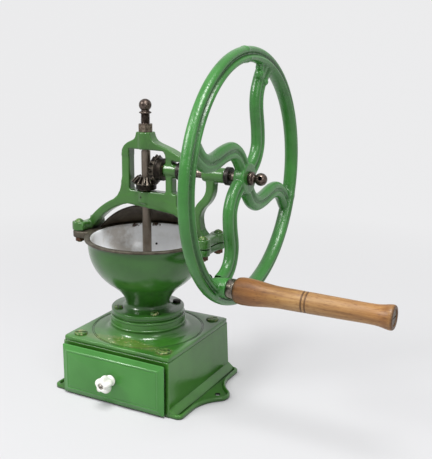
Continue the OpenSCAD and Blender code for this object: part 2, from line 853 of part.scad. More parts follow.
module bridge() {
    color("forestgreen")
        difference() {
            union() {
                upright(bridge_t)
                    difference() {
                        union() {
                            arch_plan();
                            polygon(frame_outline());
                        }
                        window_plan();
                    }
                upright(bridge_t - 3) polygon(arm_outline());
                for (side = [0, 180])
                    rotate([0, 0, side])
                        translate([0, 0, rim_z])
                            linear_extrude(height = foot_pad_h) ear_plan(ear_x - ear_r - 1);
                translate([0, 0, crown_z - 4]) cylinder(r = boss_r, h = low_boss_h + 4);
                translate([0, 0, window_top]) cylinder(r = boss_r, h = top_boss_h);
                rod_x(inner_bearing_x, inner_bearing_x + inner_bearing_l, bearing_r);
                rod_x(outer_bearing_x, outer_bearing_x + outer_bearing_l, bearing_r);
            }
            translate([0, 0, arch_z]) rotate([90, 0, 0]) cylinder(r = arch_r, h = 4 * bridge_t, center = true);
            translate([0, 0, crown_z - 2 * cut]) cylinder(r = bush_r + seat, h = low_boss_h + 3 * cut);
            translate([0, 0, window_top - cut]) cylinder(r = top_bush_r + seat, h = bore_top - window_top + cut);
            translate([0, 0, bore_top - cut]) cylinder(r = adjuster_d / 2 + run, h = boss_top - bore_top + 2 * cut);
            rod_x(inner_bearing_x - cut, inner_collar_x + cut, shaft_bush_r + seat);
            rod_x(outer_bearing_x - cut, outer_collar_x + cut, shaft_bush_r + seat);
            at_ear_bolts(rim_z - cut) cylinder(d = ear_bolt_d + 2 * seat, h = foot_pad_h + 2 * cut);
            translate([-2, 0, crown_z + low_boss_h / 2]) rotate([90, 0, 0]) cylinder(r = 1.1, h = 2 * boss_r);
        }
}

module bridge_bolts() {
    color("olivedrab")
        at_ear_bolts(rim_z + foot_pad_h)
            slotted_screw(5.6, 3.4, ear_bolt_d / 2, foot_pad_h + ear_t + 6.5);
}

module bridge_nuts() {
    color("saddlebrown")
        at_ear_bolts(rim_z - ear_t - seat)
            rotate([180, 0, 15]) hex_nut(10, 5, ear_bolt_d / 2 + seat);
}

module spindle_top_bush() {
    color("darkgoldenrod") tube_z(window_top, window_top + top_bush_l, top_bush_r, journal_r + run);
}

module spindle_low_bush() {
    color("darkgoldenrod") tube_z(crown_z, window_z, bush_r, spindle_r + run);
}

module shaft_inner_bush() {
    color("darkgoldenrod")
        tube_x(inner_bearing_x, inner_bearing_x + inner_bearing_l, shaft_bush_r, shaft_r + run);
}

module shaft_outer_bush() {
    color("darkgoldenrod")
        tube_x(outer_bearing_x, outer_bearing_x + outer_bearing_l, shaft_bush_r, shaft_r + run);
}

module lock_nut() {
    color("dimgray") translate([0, 0, nut_z]) hex_nut(lock_nut_af, lock_nut_t, adjuster_d / 2 + run);
}

module thrust_pad() {
    color("silver") translate([0, 0, pad_z]) cylinder(r = top_bush_r - run, h = thrust_pad_t);
}

// Turned form of the adjusting screw: threaded stem, neck, flange and ball
module adjuster_profile() {
    stem_r = adjuster_d / 2;
    flange_z = neck_z + adjuster_neck;
    translate([0, screw_tip_z]) square([stem_r, neck_z - screw_tip_z]);
    translate([0, neck_z]) square([stem_r + 0.5, adjuster_neck]);
    translate([0, flange_z]) square([adjuster_flange_r, adjuster_flange_t]);
    translate([0, flange_z]) square([adjuster_ball_r * 0.62, ball_z - flange_z]);
    intersection() {
        translate([0, ball_z]) circle(r = adjuster_ball_r);
        translate([0, ball_z - adjuster_ball_r]) square([2 * adjuster_ball_r, 2 * adjuster_ball_r]);
    }
}

module adjusting_screw() {
    color("dimgray")
        difference() {
            rotate_extrude() adjuster_profile();
            translate([0, 0, ball_z])
                rotate([90, 0, 117]) cylinder(d = tommy_d, h = 4 * adjuster_ball_r, center = true);
        }
}

module spindle() {
    foot_z = bar_top - bar_t - 1;
    shoulder_z = inner_burr_z + inner_burr_h + seat;
    step_top = bar_top + adjuster_travel + pass;
    top_z = pad_z - seat;
    color("slategray")
        difference() {
            union() {
                translate([0, 0, foot_z]) cylinder(r = step_r, h = shoulder_z - foot_z);
                translate([0, 0, step_top]) cylinder(r = burr_seat_r, h = shoulder_z - step_top);
                translate([0, 0, shoulder_z]) cylinder(r = spindle_r, h = window_top - 2 - shoulder_z);
                translate([0, 0, window_top - 2]) cylinder(r = journal_r, h = top_z - window_top + 2);
            }
            pinion_pin_hole();
        }
}

// One tooth on the cone, from the large end to the small end, all edges running to the cone's tip
module bevel_tooth() {
    pitch = 2 * PI * gear_r / gear_teeth;
    half = pitch * tooth_fill / 2;
    slope = 0.36;
    root = tooth_ded + 0.5;
    widths = [half + slope * root, half - slope * tooth_add];
    levels = [-root, tooth_add];
    tip = [0, 0, gear_r];
    large = [
        for (k = [0, 1], side = [-1, 1])
            [gear_r + levels[k] / sqrt(2), side * widths[k], levels[k] / sqrt(2)]
    ];
    small = [for (p = large) tip + gear_scale * (p - tip)];
    polyhedron(
        points = concat(large, small),
        faces = [[0, 2, 3, 1], [4, 5, 7, 6], [0, 1, 5, 4], [2, 6, 7, 3], [0, 4, 6, 2], [1, 3, 7, 5]]
    );
}

// A straight bevel gear: large end at z = 0, the cone's tip at z = gear_r, hub below
module bevel_gear(hub_radius, hub_l, bore_r) {
    margin = 0.02;
    tip = [0, gear_r];
    root = [gear_r - tooth_ded / sqrt(2), -tooth_ded / sqrt(2)];
    root_large = tip + (1 + margin) * (root - tip);
    root_small = tip + (gear_scale - margin) * (root - tip);
    difference() {
        union() {
            rotate_extrude()
                polygon([
                    [0, -hub_l], [hub_radius, -hub_l], [hub_radius, root_large[1] - 1.2], root_large,
                    root_small, [0, root_small[1]]
                ]);
            for (i = [0:gear_teeth - 1])
                rotate([0, 0, i * 360 / gear_teeth]) bevel_tooth();
        }
        translate([0, 0, -hub_l - cut]) cylinder(r = bore_r, h = hub_l + gear_r + cut);
    }
}

// The pinion's cross pin, or the hole for it
module pinion_pin_shape(margin) {
    pin_z = (hub_foot_z + pinion_z - tooth_ded) / 2;
    length = 2 * pinion_hub_r - 1;
    translate([0, 0, pin_z])
        rotate([90, 0, 0]) cylinder(d = pin_d + 2 * margin, h = length + 4 * margin * 20, center = true);
}

module pinion_pin_hole() {
    pinion_pin_shape(seat);
}

module pinion() {
    color("dimgray")
        difference() {
            translate([0, 0, pinion_z])
                rotate([0, 0, 180 / gear_teeth])
                    bevel_gear(pinion_hub_r, pinion_z - hub_foot_z, spindle_r + seat);
            pinion_pin_hole();
        }
}

module pinion_pin() {
    color("silver") pinion_pin_shape(0);
}

module inner_burr() {
    foot_r = burr_mouth_r - burr_gap;
    color("gray")
        difference() {
            union() {
                burr_cone(inner_burr_z, 5, foot_r, foot_r);
                burr_cone(inner_burr_z + 5, inner_burr_h - 5, foot_r - 0.8, spindle_r + burr_flare);
            }
            translate([0, 0, inner_burr_z - cut]) cylinder(r = burr_seat_r + seat, h = inner_burr_h + 2 * cut);
            for (i = [0:burr_flutes - 1])
                rotate([0, 0, (i + 0.5) * 360 / burr_flutes])
                    translate([foot_r + 0.4, 0, inner_burr_z - cut])
                        rotate([0, 0, 135]) cube([flute_depth, flute_depth, 5 + 2 * cut]);
        }
}

module burr_nut() {
    color("silver")
        translate([0, 0, inner_burr_z - burr_nut_t - seat]) hex_nut(burr_nut_af, burr_nut_t, burr_seat_r + seat);
}

// The bevel wheel's cross pin, or the hole for it
module wheel_pin_shape(margin) {
    pin_x = (gear_r + tooth_ded + wheel_hub_end) / 2;
    translate([pin_x, 0, shaft_z])
        rotate([90, 0, 0])
            cylinder(d = pin_d + 2 * margin, h = 2 * wheel_hub_r - 1 + 4 * margin * 20, center = true);
}

module bevel_wheel() {
    color("dimgray")
        difference() {
            translate([gear_r, 0, shaft_z])
                rotate([0, -90, 0]) bevel_gear(wheel_hub_r, wheel_hub_end - gear_r, shaft_r + seat);
            wheel_pin_shape(seat);
        }
}

module bevel_wheel_pin() {
    color("silver") wheel_pin_shape(0);
}

// The key between shaft and flywheel, or the slot for it
module key_shape(margin) {
    key_l = hub_l - 6;
    translate([hub_x0 + 3 - margin, -key_w / 2 - margin, shaft_z + shaft_r - key_w / 2 - margin])
        cube([key_l + 2 * margin, key_w + 2 * margin, key_w + 2 * margin]);
}

// The bore in the shaft's end for the wheel screw
module wheel_screw_stem(margin) {
    rod_x(shaft_x1 - 14 - 4 * margin, hub_x1 + cut, 3 + margin);
}

module drive_shaft() {
    color("slategray")
        difference() {
            rod_x(shaft_x0, shaft_x1, shaft_r);
            wheel_pin_shape(seat);
            key_shape(seat);
            wheel_screw_stem(seat);
        }
}

// Shaft collar with a radial screw hole on top
module collar(x0) {
    difference() {
        tube_x(x0, x0 + collar_t, collar_r, shaft_r + seat);
        translate([x0 + collar_t / 2, 0, shaft_z]) cylinder(r = 1.5 + seat, h = collar_r + cut);
    }
}

module inner_collar() {
    color("dimgray") collar(inner_collar_x);
}

module shaft_collar() {
    color("dimgray") collar(outer_collar_x);
}

module collar_screws() {
    screw_z = shaft_z + shaft_r + 3 * seat;
    color("silver")
        for (x = [inner_collar_x, outer_collar_x])
            translate([x + collar_t / 2, 0, screw_z])
                difference() {
                    cylinder(r = 1.5, h = collar_r - shaft_r - 0.4);
                    translate([-2, -0.3, collar_r - shaft_r - 1.3]) cube([4, 0.6, 2]);
                }
}

// Section of the rim, round with a groove on each face
module rim_section() {
    difference() {
        circle(r = rim_tube_r);
        for (face = [-1, 1])
            translate([-rim_tube_r * 0.25, face * rim_tube_r]) circle(r = rim_groove_r);
    }
}

// Plan of one S-shaped spoke, of a given width, in the wheel's plane
module spoke_plan(width) {
    half = width / 2;
    points = concat(
        arc(spoke_c1, spoke_r1 + half, -90, spoke_turn, 10),
        arc(spoke_c2, spoke_r2 - half, 180 + spoke_turn, spoke_end, 10),
        arc(spoke_c2, spoke_r2 + half, spoke_end, 180 + spoke_turn, 10),
        arc(spoke_c1, spoke_r1 - half, spoke_turn, -90, 10)
    );
    polygon(points);
}

// One spoke: a full core, drawn in at both faces, with a groove along each face
module spoke() {
    linear_extrude(height = spoke_t - 2 * spoke_step, center = true) spoke_plan(spoke_w);
    for (face = [-1, 1])
        translate([0, 0, face * (spoke_t - spoke_step) / 2])
            linear_extrude(height = spoke_step, center = true)
                difference() {
                    spoke_plan(spoke_w - 2 * spoke_step);
                    spoke_plan(spoke_groove_w);
                }
}

// Turns a piece that lies in the page, Z up, into the wheel's plane at a place along X
module in_wheel_plane(x) {
    translate([x, 0, shaft_z]) rotate([90, 0, 90]) children();
}

// Rib that ties the handle boss to the rim, wherever the handle sits
module rod_boss_rib() {
    reach = wheel_r - handle_r;
    in_wheel_plane(wheel_x)
        rotate([0, 0, 90 - handle_angle])
            translate([min(handle_r, wheel_r) - rod_r, -rod_boss_r / 2, -rim_tube_r / 2])
                cube([abs(reach) + rod_r, rod_boss_r, rim_tube_r]);
}

module flywheel() {
    color("forestgreen")
        difference() {
            union() {
                in_wheel_plane(wheel_x) rotate_extrude() translate([wheel_r, 0]) rim_section();
                in_wheel_plane(spoke_x)
                    for (k = [0:3])
                        rotate([0, 0, 90 * k]) spoke();
                rod_x(hub_x0, hub_x1, hub_r);
                rod_x(rod_boss_x0, rod_boss_x1, rod_boss_r, handle_y, handle_z);
                rod_boss_rib();
            }
            rod_x(hub_x0 - cut, hub_x1 + cut, shaft_r + seat);
            rod_x(rod_boss_x0 - cut, rod_boss_x1 + cut, rod_r + seat, handle_y, handle_z);
            key_shape(seat);
        }
}

module wheel_key() {
    color("silver") key_shape(0);
}

// Turned form of the wheel screw, along its own axis from the hub's face out
module wheel_screw_profile() {
    ball_at = wheel_ball_x - hub_x1;
    square([wheel_flange_r, wheel_flange_t]);
    square([wheel_ball_r * 0.6, ball_at]);
    intersection() {
        translate([0, ball_at]) circle(r = wheel_ball_r);
        translate([0, ball_at - wheel_ball_r]) square([2 * wheel_ball_r, 2 * wheel_ball_r]);
    }
}

module wheel_screw() {
    color("dimgray")
        difference() {
            union() {
                translate([hub_x1 + seat, 0, shaft_z]) rotate([0, 90, 0]) rotate_extrude() wheel_screw_profile();
                rod_x(shaft_x1 - 14, hub_x1 + cut, 3);
            }
            translate([wheel_ball_x + seat, 0, shaft_z])
                rotate([70, 0, 13]) cylinder(d = tommy_d, h = 4 * wheel_ball_r, center = true);
        }
}

module handle_rod() {
    color("silver") rod_x(rod_x0, rod_x1, rod_r, handle_y, handle_z);
}

module handle_nut() {
    color("dimgray")
        translate([rod_boss_x0 - seat, handle_y, handle_z])
            rotate([0, -90, 0]) hex_nut(handle_nut_af, handle_nut_t, rod_r + seat);
}

module handle_ferrule() {
    waist = 1.6;
    color("silver")
        translate([ferrule_x, handle_y, handle_z])
            rotate([0, 90, 0])
                rotate_extrude()
                    polygon([
                        [rod_r + seat, 0], [ferrule_r - waist, 0], [ferrule_r, waist],
                        [ferrule_r, ferrule_t - waist], [ferrule_r - waist / 2, ferrule_t], [rod_r + seat, ferrule_t]
                    ]);
}

module handle_end_nut() {
    nut_x = grip_x1 - end_recess + pass;
    color("dimgray")
        difference() {
            rod_x(nut_x, nut_x + end_nut_t, end_nut_r, handle_y, handle_z);
            rod_x(nut_x - cut, nut_x + end_nut_t - 0.6 + seat, rod_r + seat, handle_y, handle_z);
            translate([nut_x + end_nut_t, handle_y, handle_z]) cube([1.6, 2 * end_nut_r + cut, 1.4], center = true);
        }
}

// Radius of the turned grip at a share of its length: bulb, long waist, flared end
function grip_radius(s) =
    s < 0.05 ? grip_bulb_r - (grip_bulb_r - ferrule_r - 1) * pow(1 - s / 0.05, 2)
    : s < 0.3 ? grip_waist_r + 0.8 + (grip_bulb_r - grip_waist_r - 0.8) * (1 + cos((s - 0.05) / 0.25 * 180)) / 2
    : s < 0.8 ? grip_waist_r + 0.8 * (1 + cos((s - 0.3) / 0.5 * 180)) / 2
    : s < 0.97 ? grip_waist_r + (grip_end_r - grip_waist_r) * (1 - cos((s - 0.8) / 0.17 * 180)) / 2
    : grip_end_r - 1.6 * pow((s - 0.97) / 0.03, 2);

module handle_grip() {
    steps = 48;
    groove_at = [0.447, 0.47];
    side = [for (i = [0:steps]) [grip_radius(i / steps), grip_l * i / steps]];
    color("peru")
        translate([grip_x0, handle_y, handle_z])
            rotate([0, 90, 0])
                difference() {
                    rotate_extrude() polygon(concat([[0, 0]], side, [[0, grip_l]]));
                    translate([0, 0, -cut]) cylinder(r = rod_r + run, h = grip_l + 2 * cut);
                    translate([0, 0, grip_l - end_recess]) cylinder(r = end_recess_r, h = end_recess + cut);
                    for (s = groove_at)
                        rotate_extrude() translate([grip_radius(s) + 0.2, grip_l * s]) circle(r = 0.9);
                }
}

module drawer_tray() {
    color("silver")
        difference() {
            translate([-tray_w / 2, front_y, tray_z]) cube([tray_w, tray_back - front_y, tray_h]);
            translate([-tray_w / 2 + tray_t, front_y + tray_t, tray_z + tray_t])
                cube([tray_w - 2 * tray_t, tray_back - front_y - 2 * tray_t, tray_h]);
            at_rivets() cylinder(d = rivet_d + 2 * seat, h = 4 * front_t, center = true);
            knob_bore(knob_screw_d / 2 + seat);
        }
}

// The two rivet places in the drawer front, axis along Y
module at_rivets() {
    for (x = [-1, 1])
        translate([x * rivet_x, front_y, rivet_z]) rotate([90, 0, 0]) children();
}

// A bore along the knob's axis, through knob, front and tray
module knob_bore(r) {
    translate([0, 2 * front_t + front_y, front_mid_z])
        rotate([90, 0, 0]) cylinder(r = r, h = knob_l + 6 * front_t);
}

// Bevelled slab seen along one axis: full width at the back, drawn in at the face
module bevelled_slab(width, length) {
    edge_t = 1.5;
    linear_extrude(height = length, center = true)
        polygon([
            [-width / 2, 0], [-width / 2, -edge_t], [-width / 2 + front_bevel, -front_t],
            [width / 2 - front_bevel, -front_t], [width / 2, -edge_t], [width / 2, 0]
        ]);
}

// Four grooves that frame the field of the drawer front
module front_grooves() {
    line_w = 1;
    depth = 0.7;
    inset = front_bevel + 1.2;
    field_w = front_w - 2 * inset;
    field_h = front_h - 2 * inset;
    translate([0, front_face_y, front_mid_z])
        difference() {
            cube([field_w, 2 * depth, field_h], center = true);
            cube([field_w - 2 * line_w, 4 * depth, field_h - 2 * line_w], center = true);
        }
}

module drawer_front() {
    color("limegreen")
        difference() {
            translate([0, front_y, front_mid_z])
                intersection() {
                    bevelled_slab(front_w, front_h);
                    rotate([0, 90, 0]) bevelled_slab(front_h, front_w);
                }
            front_grooves();
            at_rivets() translate([0, 0, -cut]) cylinder(d = rivet_d + 2 * seat, h = 2.5 + cut);
            knob_bore(knob_screw_d / 2 + seat);
        }
}

module drawer_rivets() {
    head_r = rivet_d * 0.9;
    color("silver")
        at_rivets() {
            translate([0, 0, -tray_t - 1]) cylinder(d = rivet_d, h = tray_t + 3.4);
            translate([0, 0, -tray_t - 1.2]) cylinder(r1 = head_r - 0.8, r2 = head_r, h = 1.2 - seat);
        }
}

// Plan of the knob's head, seen from the front
module lobes_plan() {
    for (i = [0:knob_lobes - 1])
        rotate([0, 0, 90 + i * 360 / knob_lobes]) translate([knob_lobe_ring_r, 0]) circle(r = knob_lobe_r);
    circle(r = knob_lobe_ring_r);
}

module drawer_knob() {
    color("white")
        difference() {
            union() {
                translate([0, front_face_y, front_mid_z])
                    rotate([90, 0, 0])
                        rotate_extrude()
                            polygon([
                                [0, 0], [knob_flange_r, 0], [knob_flange_r, 2], [knob_stem_r, 4.6],
                                [knob_stem_r, front_face_y - knob_head_y], [0, front_face_y - knob_head_y]
                            ]);
                translate([0, knob_head_y, front_mid_z])
                    rotate([90, 0, 0])
                        intersection() {
                            linear_extrude(height = knob_head_t, center = true) lobes_plan();
                            sphere(r = knob_round_r);
                        }
            }
            knob_bore(knob_screw_d / 2 + seat);
            translate([0, knob_tip_y + 1.6, front_mid_z]) rotate([90, 0, 0]) cylinder(r = 3.6, h = knob_l);
        }
}

module knob_screw() {
    inner_y = front_y + tray_t;
    color("gray") {
        translate([0, knob_tip_y + 1.6 - seat, front_mid_z])
            rotate([90, 0, 0])
                slotted_screw(3.4, 1.8, knob_screw_d / 2, inner_y + 4.5 - knob_tip_y);
        translate([0, inner_y + seat, front_mid_z])
            rotate([-90, 0, 0]) hex_nut(7, 3, knob_screw_d / 2 - seat);
    }
}

// Section of the half dome: a thin cap with a bead round its foot
module lid_profile() {
    centre = [0, lid_z + lid_rise - lid_sphere_r];
    intersection() {
        difference() {
            translate(centre) circle(r = lid_sphere_r);
            translate(centre) circle(r = lid_sphere_r - lid_t);
        }
        translate([0, lid_z]) square([lid_r + cut, lid_rise + cut]);
    }
    translate([lid_r - 2 * lid_bead_r, lid_z]) square([2 * lid_bead_r, lid_bead_r]);
}

module hopper_lid() {
    color("saddlebrown")
        intersection() {
            rotate_extrude() lid_profile();
            translate([-2 * lid_r, lid_edge_y, lid_z - cut]) cube([4 * lid_r, 2 * lid_r, 2 * lid_rise]);
        }
}

base_box();
floor_plate();
top_plate();
plate_screws();
hopper();
hopper_screws();
outer_burr();
footstep_bar();
footstep_screws();
bridge();
bridge_bolts();
bridge_nuts();
spindle_top_bush();
spindle_low_bush();
shaft_inner_bush();
shaft_outer_bush();
lock_nut();
thrust_pad();
adjusting_screw();
spindle();
pinion();
pinion_pin();
inner_burr();
burr_nut();
drive_shaft();
bevel_wheel();
bevel_wheel_pin();
inner_collar();
shaft_collar();
collar_screws();
flywheel();
wheel_key();
wheel_screw();
handle_rod();
handle_nut();
handle_ferrule();
handle_end_nut();
handle_grip();
drawer_tray();
drawer_front();
drawer_rivets();
drawer_knob();
knob_screw();
hopper_lid();
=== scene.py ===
# A counter-top coffee mill of painted cast iron, dressed around its solids.
# The drawer faces -Y, the drive shaft runs along X to the flywheel, and Z is up.
from math import asin, atan2, cos, degrees, exp, pi, radians, sin, sqrt

import bmesh
import bpy
from mathutils import Matrix, Vector


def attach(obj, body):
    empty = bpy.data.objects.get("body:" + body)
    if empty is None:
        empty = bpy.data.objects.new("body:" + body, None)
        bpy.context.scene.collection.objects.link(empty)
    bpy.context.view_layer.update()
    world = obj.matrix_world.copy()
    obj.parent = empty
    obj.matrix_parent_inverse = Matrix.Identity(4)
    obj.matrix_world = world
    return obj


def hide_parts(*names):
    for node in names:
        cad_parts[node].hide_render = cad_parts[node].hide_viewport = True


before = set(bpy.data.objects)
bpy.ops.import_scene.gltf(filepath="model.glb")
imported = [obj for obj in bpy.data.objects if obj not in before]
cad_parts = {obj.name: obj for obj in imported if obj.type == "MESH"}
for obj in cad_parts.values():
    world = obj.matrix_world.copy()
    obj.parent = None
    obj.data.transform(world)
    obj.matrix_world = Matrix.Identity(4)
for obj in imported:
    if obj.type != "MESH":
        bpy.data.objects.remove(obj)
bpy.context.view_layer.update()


# Base: a sand-cast iron box of three walls that lean out towards the foot, open at the front
# for the drawer. It was cast in one with its two feet, its corner posts for the plate's screws
# and a rail over the drawer, then brushed with gloss paint.
MM = 0.001


def linear(hex_colour):
    """A colour written as sRGB hex, as linear red, green, blue and alpha."""
    parts = [int(hex_colour[i:i + 2], 16) / 255 for i in (1, 3, 5)]
    return [c / 12.92 if c <= 0.04045 else ((c + 0.055) / 1.055) ** 2.4 for c in parts] + [1.0]


def join(tree, node, links):
    """Sets a node's inputs: to a value, to a socket, or to the first output another node has."""
    for key, value in links.items():
        if isinstance(value, bpy.types.Node):
            value = next(socket for socket in value.outputs if socket.enabled)
        if isinstance(value, bpy.types.NodeSocket):
            tree.links.new(value, node.inputs[key])
        else:
            node.inputs[key].default_value = value
    return node


def add(tree, kind, links=None, stops=None, **settings):
    """Adds one node with its settings, its colour stops and its inputs."""
    node = tree.nodes.new(kind)
    for key, value in settings.items():
        setattr(node, key, value)
    if stops:
        ramp = node.color_ramp.elements
        while len(ramp) < len(stops):
            ramp.new(0.5)
        for element, (place, colour) in zip(ramp, stops):
            element.position = place
            element.color = linear(colour)
    return join(tree, node, links or {})


def new_finish(name, sockets):
    """A material named for its finish, its tree, its shader and its object coordinates."""
    material = bpy.data.materials.new(name)
    material.use_nodes = True
    tree = material.node_tree
    shader = join(tree, tree.nodes["Principled BSDF"], sockets)
    return material, tree, shader, add(tree, "ShaderNodeTexCoord").outputs["Object"]


def gloss_paint(name, light, mid, deep, pit_mm, pit_depth, shade_and_dirt_mm=7, coat=0.4, gloss=(0.13, 0.26)):
    """Brushed gloss oil paint on rough cast iron. It gives slow clouds of green, highlights that
    the sand's grain breaks up, and painted shade, with some dirt, dark in the corners. The grain
    is drawn coarser than the half millimetre of casting sand, so that it shows."""
    material, tree, shader, place = new_finish(
        name, {"IOR": 1.5, "Coat Weight": coat, "Coat Roughness": 0.32})
    cloud = add(tree, "ShaderNodeTexNoise",
                {"Vector": place, "Scale": 1 / (45 * MM), "Detail": 3.0})
    tone = add(tree, "ShaderNodeValToRGB", {"Fac": cloud},
               [(0.3, deep), (0.52, mid), (0.75, light)])
    # Painted shade: ambient occlusion darkens corners and recesses as shade would, with some dirt.
    corner = add(tree, "ShaderNodeAmbientOcclusion", {"Distance": shade_and_dirt_mm * MM}, samples=4)
    shade = add(tree, "ShaderNodeValToRGB", {"Fac": corner.outputs["AO"]},
                [(0.25, "#20380f"), (0.92, "#ffffff")])
    shade_and_dirt = add(tree, "ShaderNodeMix", {"Factor": 0.85, "A": tone, "B": shade},
               data_type="RGBA", blend_type="MULTIPLY")
    grain = add(tree, "ShaderNodeTexNoise",
                {"Vector": place, "Scale": 1 / (pit_mm * MM), "Detail": 2.0})
    skin = add(tree, "ShaderNodeTexNoise",
               {"Vector": place, "Scale": 1 / (14 * MM), "Detail": 2.0})
    lumps = add(tree, "ShaderNodeBump", {"Height": skin, "Distance": 0.5 * MM, "Strength": 0.5})
    bump = add(tree, "ShaderNodeBump", {"Height": grain, "Distance": pit_depth * MM,
                                        "Strength": 0.6, "Normal": lumps})
    rough = add(tree, "ShaderNodeMapRange",
                {"Value": cloud, "To Min": gloss[0], "To Max": gloss[1]})
    join(tree, shader, {"Base Color": shade_and_dirt, "Roughness": rough, "Normal": bump})
    return material


def piece(name, body, shells, finishes, crease=35):
    """A mesh in millimetres that rides on a body, each shell in a finish of its own if there are
    several finishes."""
    mesh = bpy.data.meshes.new(name)
    build = bmesh.new()
    for index, (points, faces) in enumerate(shells):
        made = [build.verts.new([c * MM for c in point]) for point in points]
        for face in faces:
            corners = list(dict.fromkeys(made[i] for i in face))
            if len(corners) > 2:
                new = build.faces.new(corners)
                new.material_index = index if len(finishes) > 1 else 0
    bmesh.ops.remove_doubles(build, verts=build.verts, dist=0.002 * MM)
    bmesh.ops.recalc_face_normals(build, faces=build.faces)
    build.to_mesh(mesh)
    build.free()
    for finish in finishes:
        mesh.materials.append(finish)
    mesh.shade_smooth()
    mesh.set_sharp_from_angle(angle=radians(crease))
    obj = bpy.data.objects.new(name, mesh)
    bpy.context.scene.collection.objects.link(obj)
    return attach(obj, body)


def loft(loops, ends=True, ring=False):
    """Joins closed loops of equal count into a skin, with flat ends, or from end to start."""
    count = len(loops[0])
    points = [p for loop in loops for p in loop]
    faces = []
    for k in range(len(loops) if ring else len(loops) - 1):
        a, b = k * count, (k + 1) % len(loops) * count
        faces += [(a + i, a + (i + 1) % count, b + (i + 1) % count, b + i) for i in range(count)]
    if ends and not ring:
        faces += [tuple(range(count)), tuple(range(len(points) - count, len(points)))]
    return points, faces


def arc(cx, cy, r, a0, a1, steps):
    """Points along an arc, from one angle to another, in degrees."""
    turn = [radians(a0 + (a1 - a0) * i / steps) for i in range(steps + 1)]
    return [(cx + r * cos(t), cy + r * sin(t)) for t in turn]


def soften(obj, width, segments=3, angle=30):
    """Eases the edges of a casting, and keeps its flats flat."""
    bevel = obj.modifiers.new("eased_edges", "BEVEL")
    bevel.width = width * MM
    bevel.segments = segments
    bevel.limit_method = "ANGLE"
    bevel.angle_limit = radians(angle)
    obj.modifiers.new("flat_faces", "WEIGHTED_NORMAL")


base_paint = gloss_paint("gloss_paint_on_cast_base", "#427d2c", "#3b7325", "#33671e",
                         pit_mm=3.5, pit_depth=0.14, coat=0.2)
WALL_H = 67.0
WALL_TOP = 75.0
WALL_FOOT = 77.0
WALL_CORNER = 2.6
BAY = 70.5
POSTS = [(x0, x1, y0, y1, 53.0, WALL_H) for x0, x1 in ((-71.5, -53.0), (53.0, 71.5))
         for y0, y1 in ((-74.6, -52.5), (52.5, 71.5))]
RAIL = (-71.5, 71.5, -75.0, -70.5, 58.0, WALL_H)


def wall_loop(z):
    """The three walls at one height: a square with the drawer's bay cut into its front."""
    half = WALL_FOOT + (WALL_TOP - WALL_FOOT) * z / WALL_H
    c = half - WALL_CORNER
    outer = [(-half, -half)] + arc(-c, c, WALL_CORNER, 180, 90, 5)
    outer += arc(c, c, WALL_CORNER, 90, 0, 5) + [(half, -half)]
    inner = [(BAY, -half), (BAY, BAY), (-BAY, BAY), (-BAY, -half)]
    return [(x, y, z) for x, y in outer + inner]


def block(x0, x1, y0, y1, z0, z1):
    return loft([[(x0, y0, z), (x1, y0, z), (x1, y1, z), (x0, y1, z)] for z in (z0, z1)])


walls = piece("base_walls", "frame", [loft([wall_loop(0.0), wall_loop(WALL_H)])], [base_paint])
posts = piece("base_corner_posts", "frame", [block(*room) for room in POSTS + [RAIL]],
              [base_paint])
soften(walls, width=0.9)
soften(posts, width=0.8)
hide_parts("base_box")


# Feet: a flange on each side with a raised bead round its edge, a sloped strip against the wall
# and a lug with one screw hole, black inside with old oil and painted shade. They are part of
# the base's casting.
def bare_metal(name, light, dark, mottle_mm, metallic, roughness, stretch=(1, 1, 1)):
    """Bare or browned metal. It gives two tones in clouds, the dark ones duller, drawn out into
    streaks or tool rings where stretch asks for them."""
    material, tree, shader, place = new_finish(name, {"Metallic": metallic})
    drawn = add(tree, "ShaderNodeMapping", {"Vector": place, "Scale": stretch})
    cloud = add(tree, "ShaderNodeTexNoise", {"Vector": drawn, "Scale": 1 / (mottle_mm * MM),
                                             "Detail": 5.0, "Roughness": 0.6})
    tone = add(tree, "ShaderNodeValToRGB", {"Fac": cloud}, [(0.36, dark), (0.64, light)])
    rough = add(tree, "ShaderNodeMapRange",
                {"Value": cloud, "From Min": 0.3, "From Max": 0.7,
                 "To Min": roughness + 0.1, "To Max": roughness - 0.06})
    bump = add(tree, "ShaderNodeBump", {"Height": cloud, "Distance": 0.12 * MM, "Strength": 0.5})
    join(tree, shader, {"Base Color": tone, "Roughness": rough, "Normal": bump})
    return material


def drill(obj, start, end, radius, wall):
    """Cuts one round hole into a finished mesh, its wall in a finish of its own."""
    start, end = Vector(start) * MM, Vector(end) * MM
    mesh = bpy.data.meshes.new("drill")
    build = bmesh.new()
    turn = (end - start).to_track_quat("Z", "Y").to_matrix().to_4x4()
    bmesh.ops.create_cone(build, cap_ends=True, segments=32, radius1=radius * MM,
                          radius2=radius * MM, depth=(end - start).length,
                          matrix=Matrix.Translation((start + end) / 2) @ turn)
    build.to_mesh(mesh)
    build.free()
    mesh.materials.append(wall)
    cutter = bpy.data.objects.new("drill", mesh)
    bpy.context.scene.collection.objects.link(cutter)
    cut = obj.modifiers.new("hole", "BOOLEAN")
    cut.operation = "DIFFERENCE"
    cut.solver = "EXACT"
    cut.material_mode = "TRANSFER"
    cut.object = cutter
    bpy.context.view_layer.update()
    shaped = obj.evaluated_get(bpy.context.evaluated_depsgraph_get())
    finished = bpy.data.meshes.new_from_object(shaped)
    obj.modifiers.remove(cut)
    obj.data = finished
    bpy.data.objects.remove(cutter)


# Dried oil and painted shade: a flat black on the walls of holes that lets a hole read as deep.
hole_oil_and_shade = bare_metal("dried_oil_and_painted_shade_in_holes", "#120f0c", "#070605",
                     mottle_mm=2, metallic=0.0, roughness=0.6)
FOOT_EDGE = 92.0
FOOT_TURN = 7.0
FOOT_ROOT = 4.5
FOOT_HOLE = 3.5
# The lug and the hollow on each side of it, as the centre's distance and the radius.
LUG = (100.0, 15.0)
COVE = (140.0, 48.0)
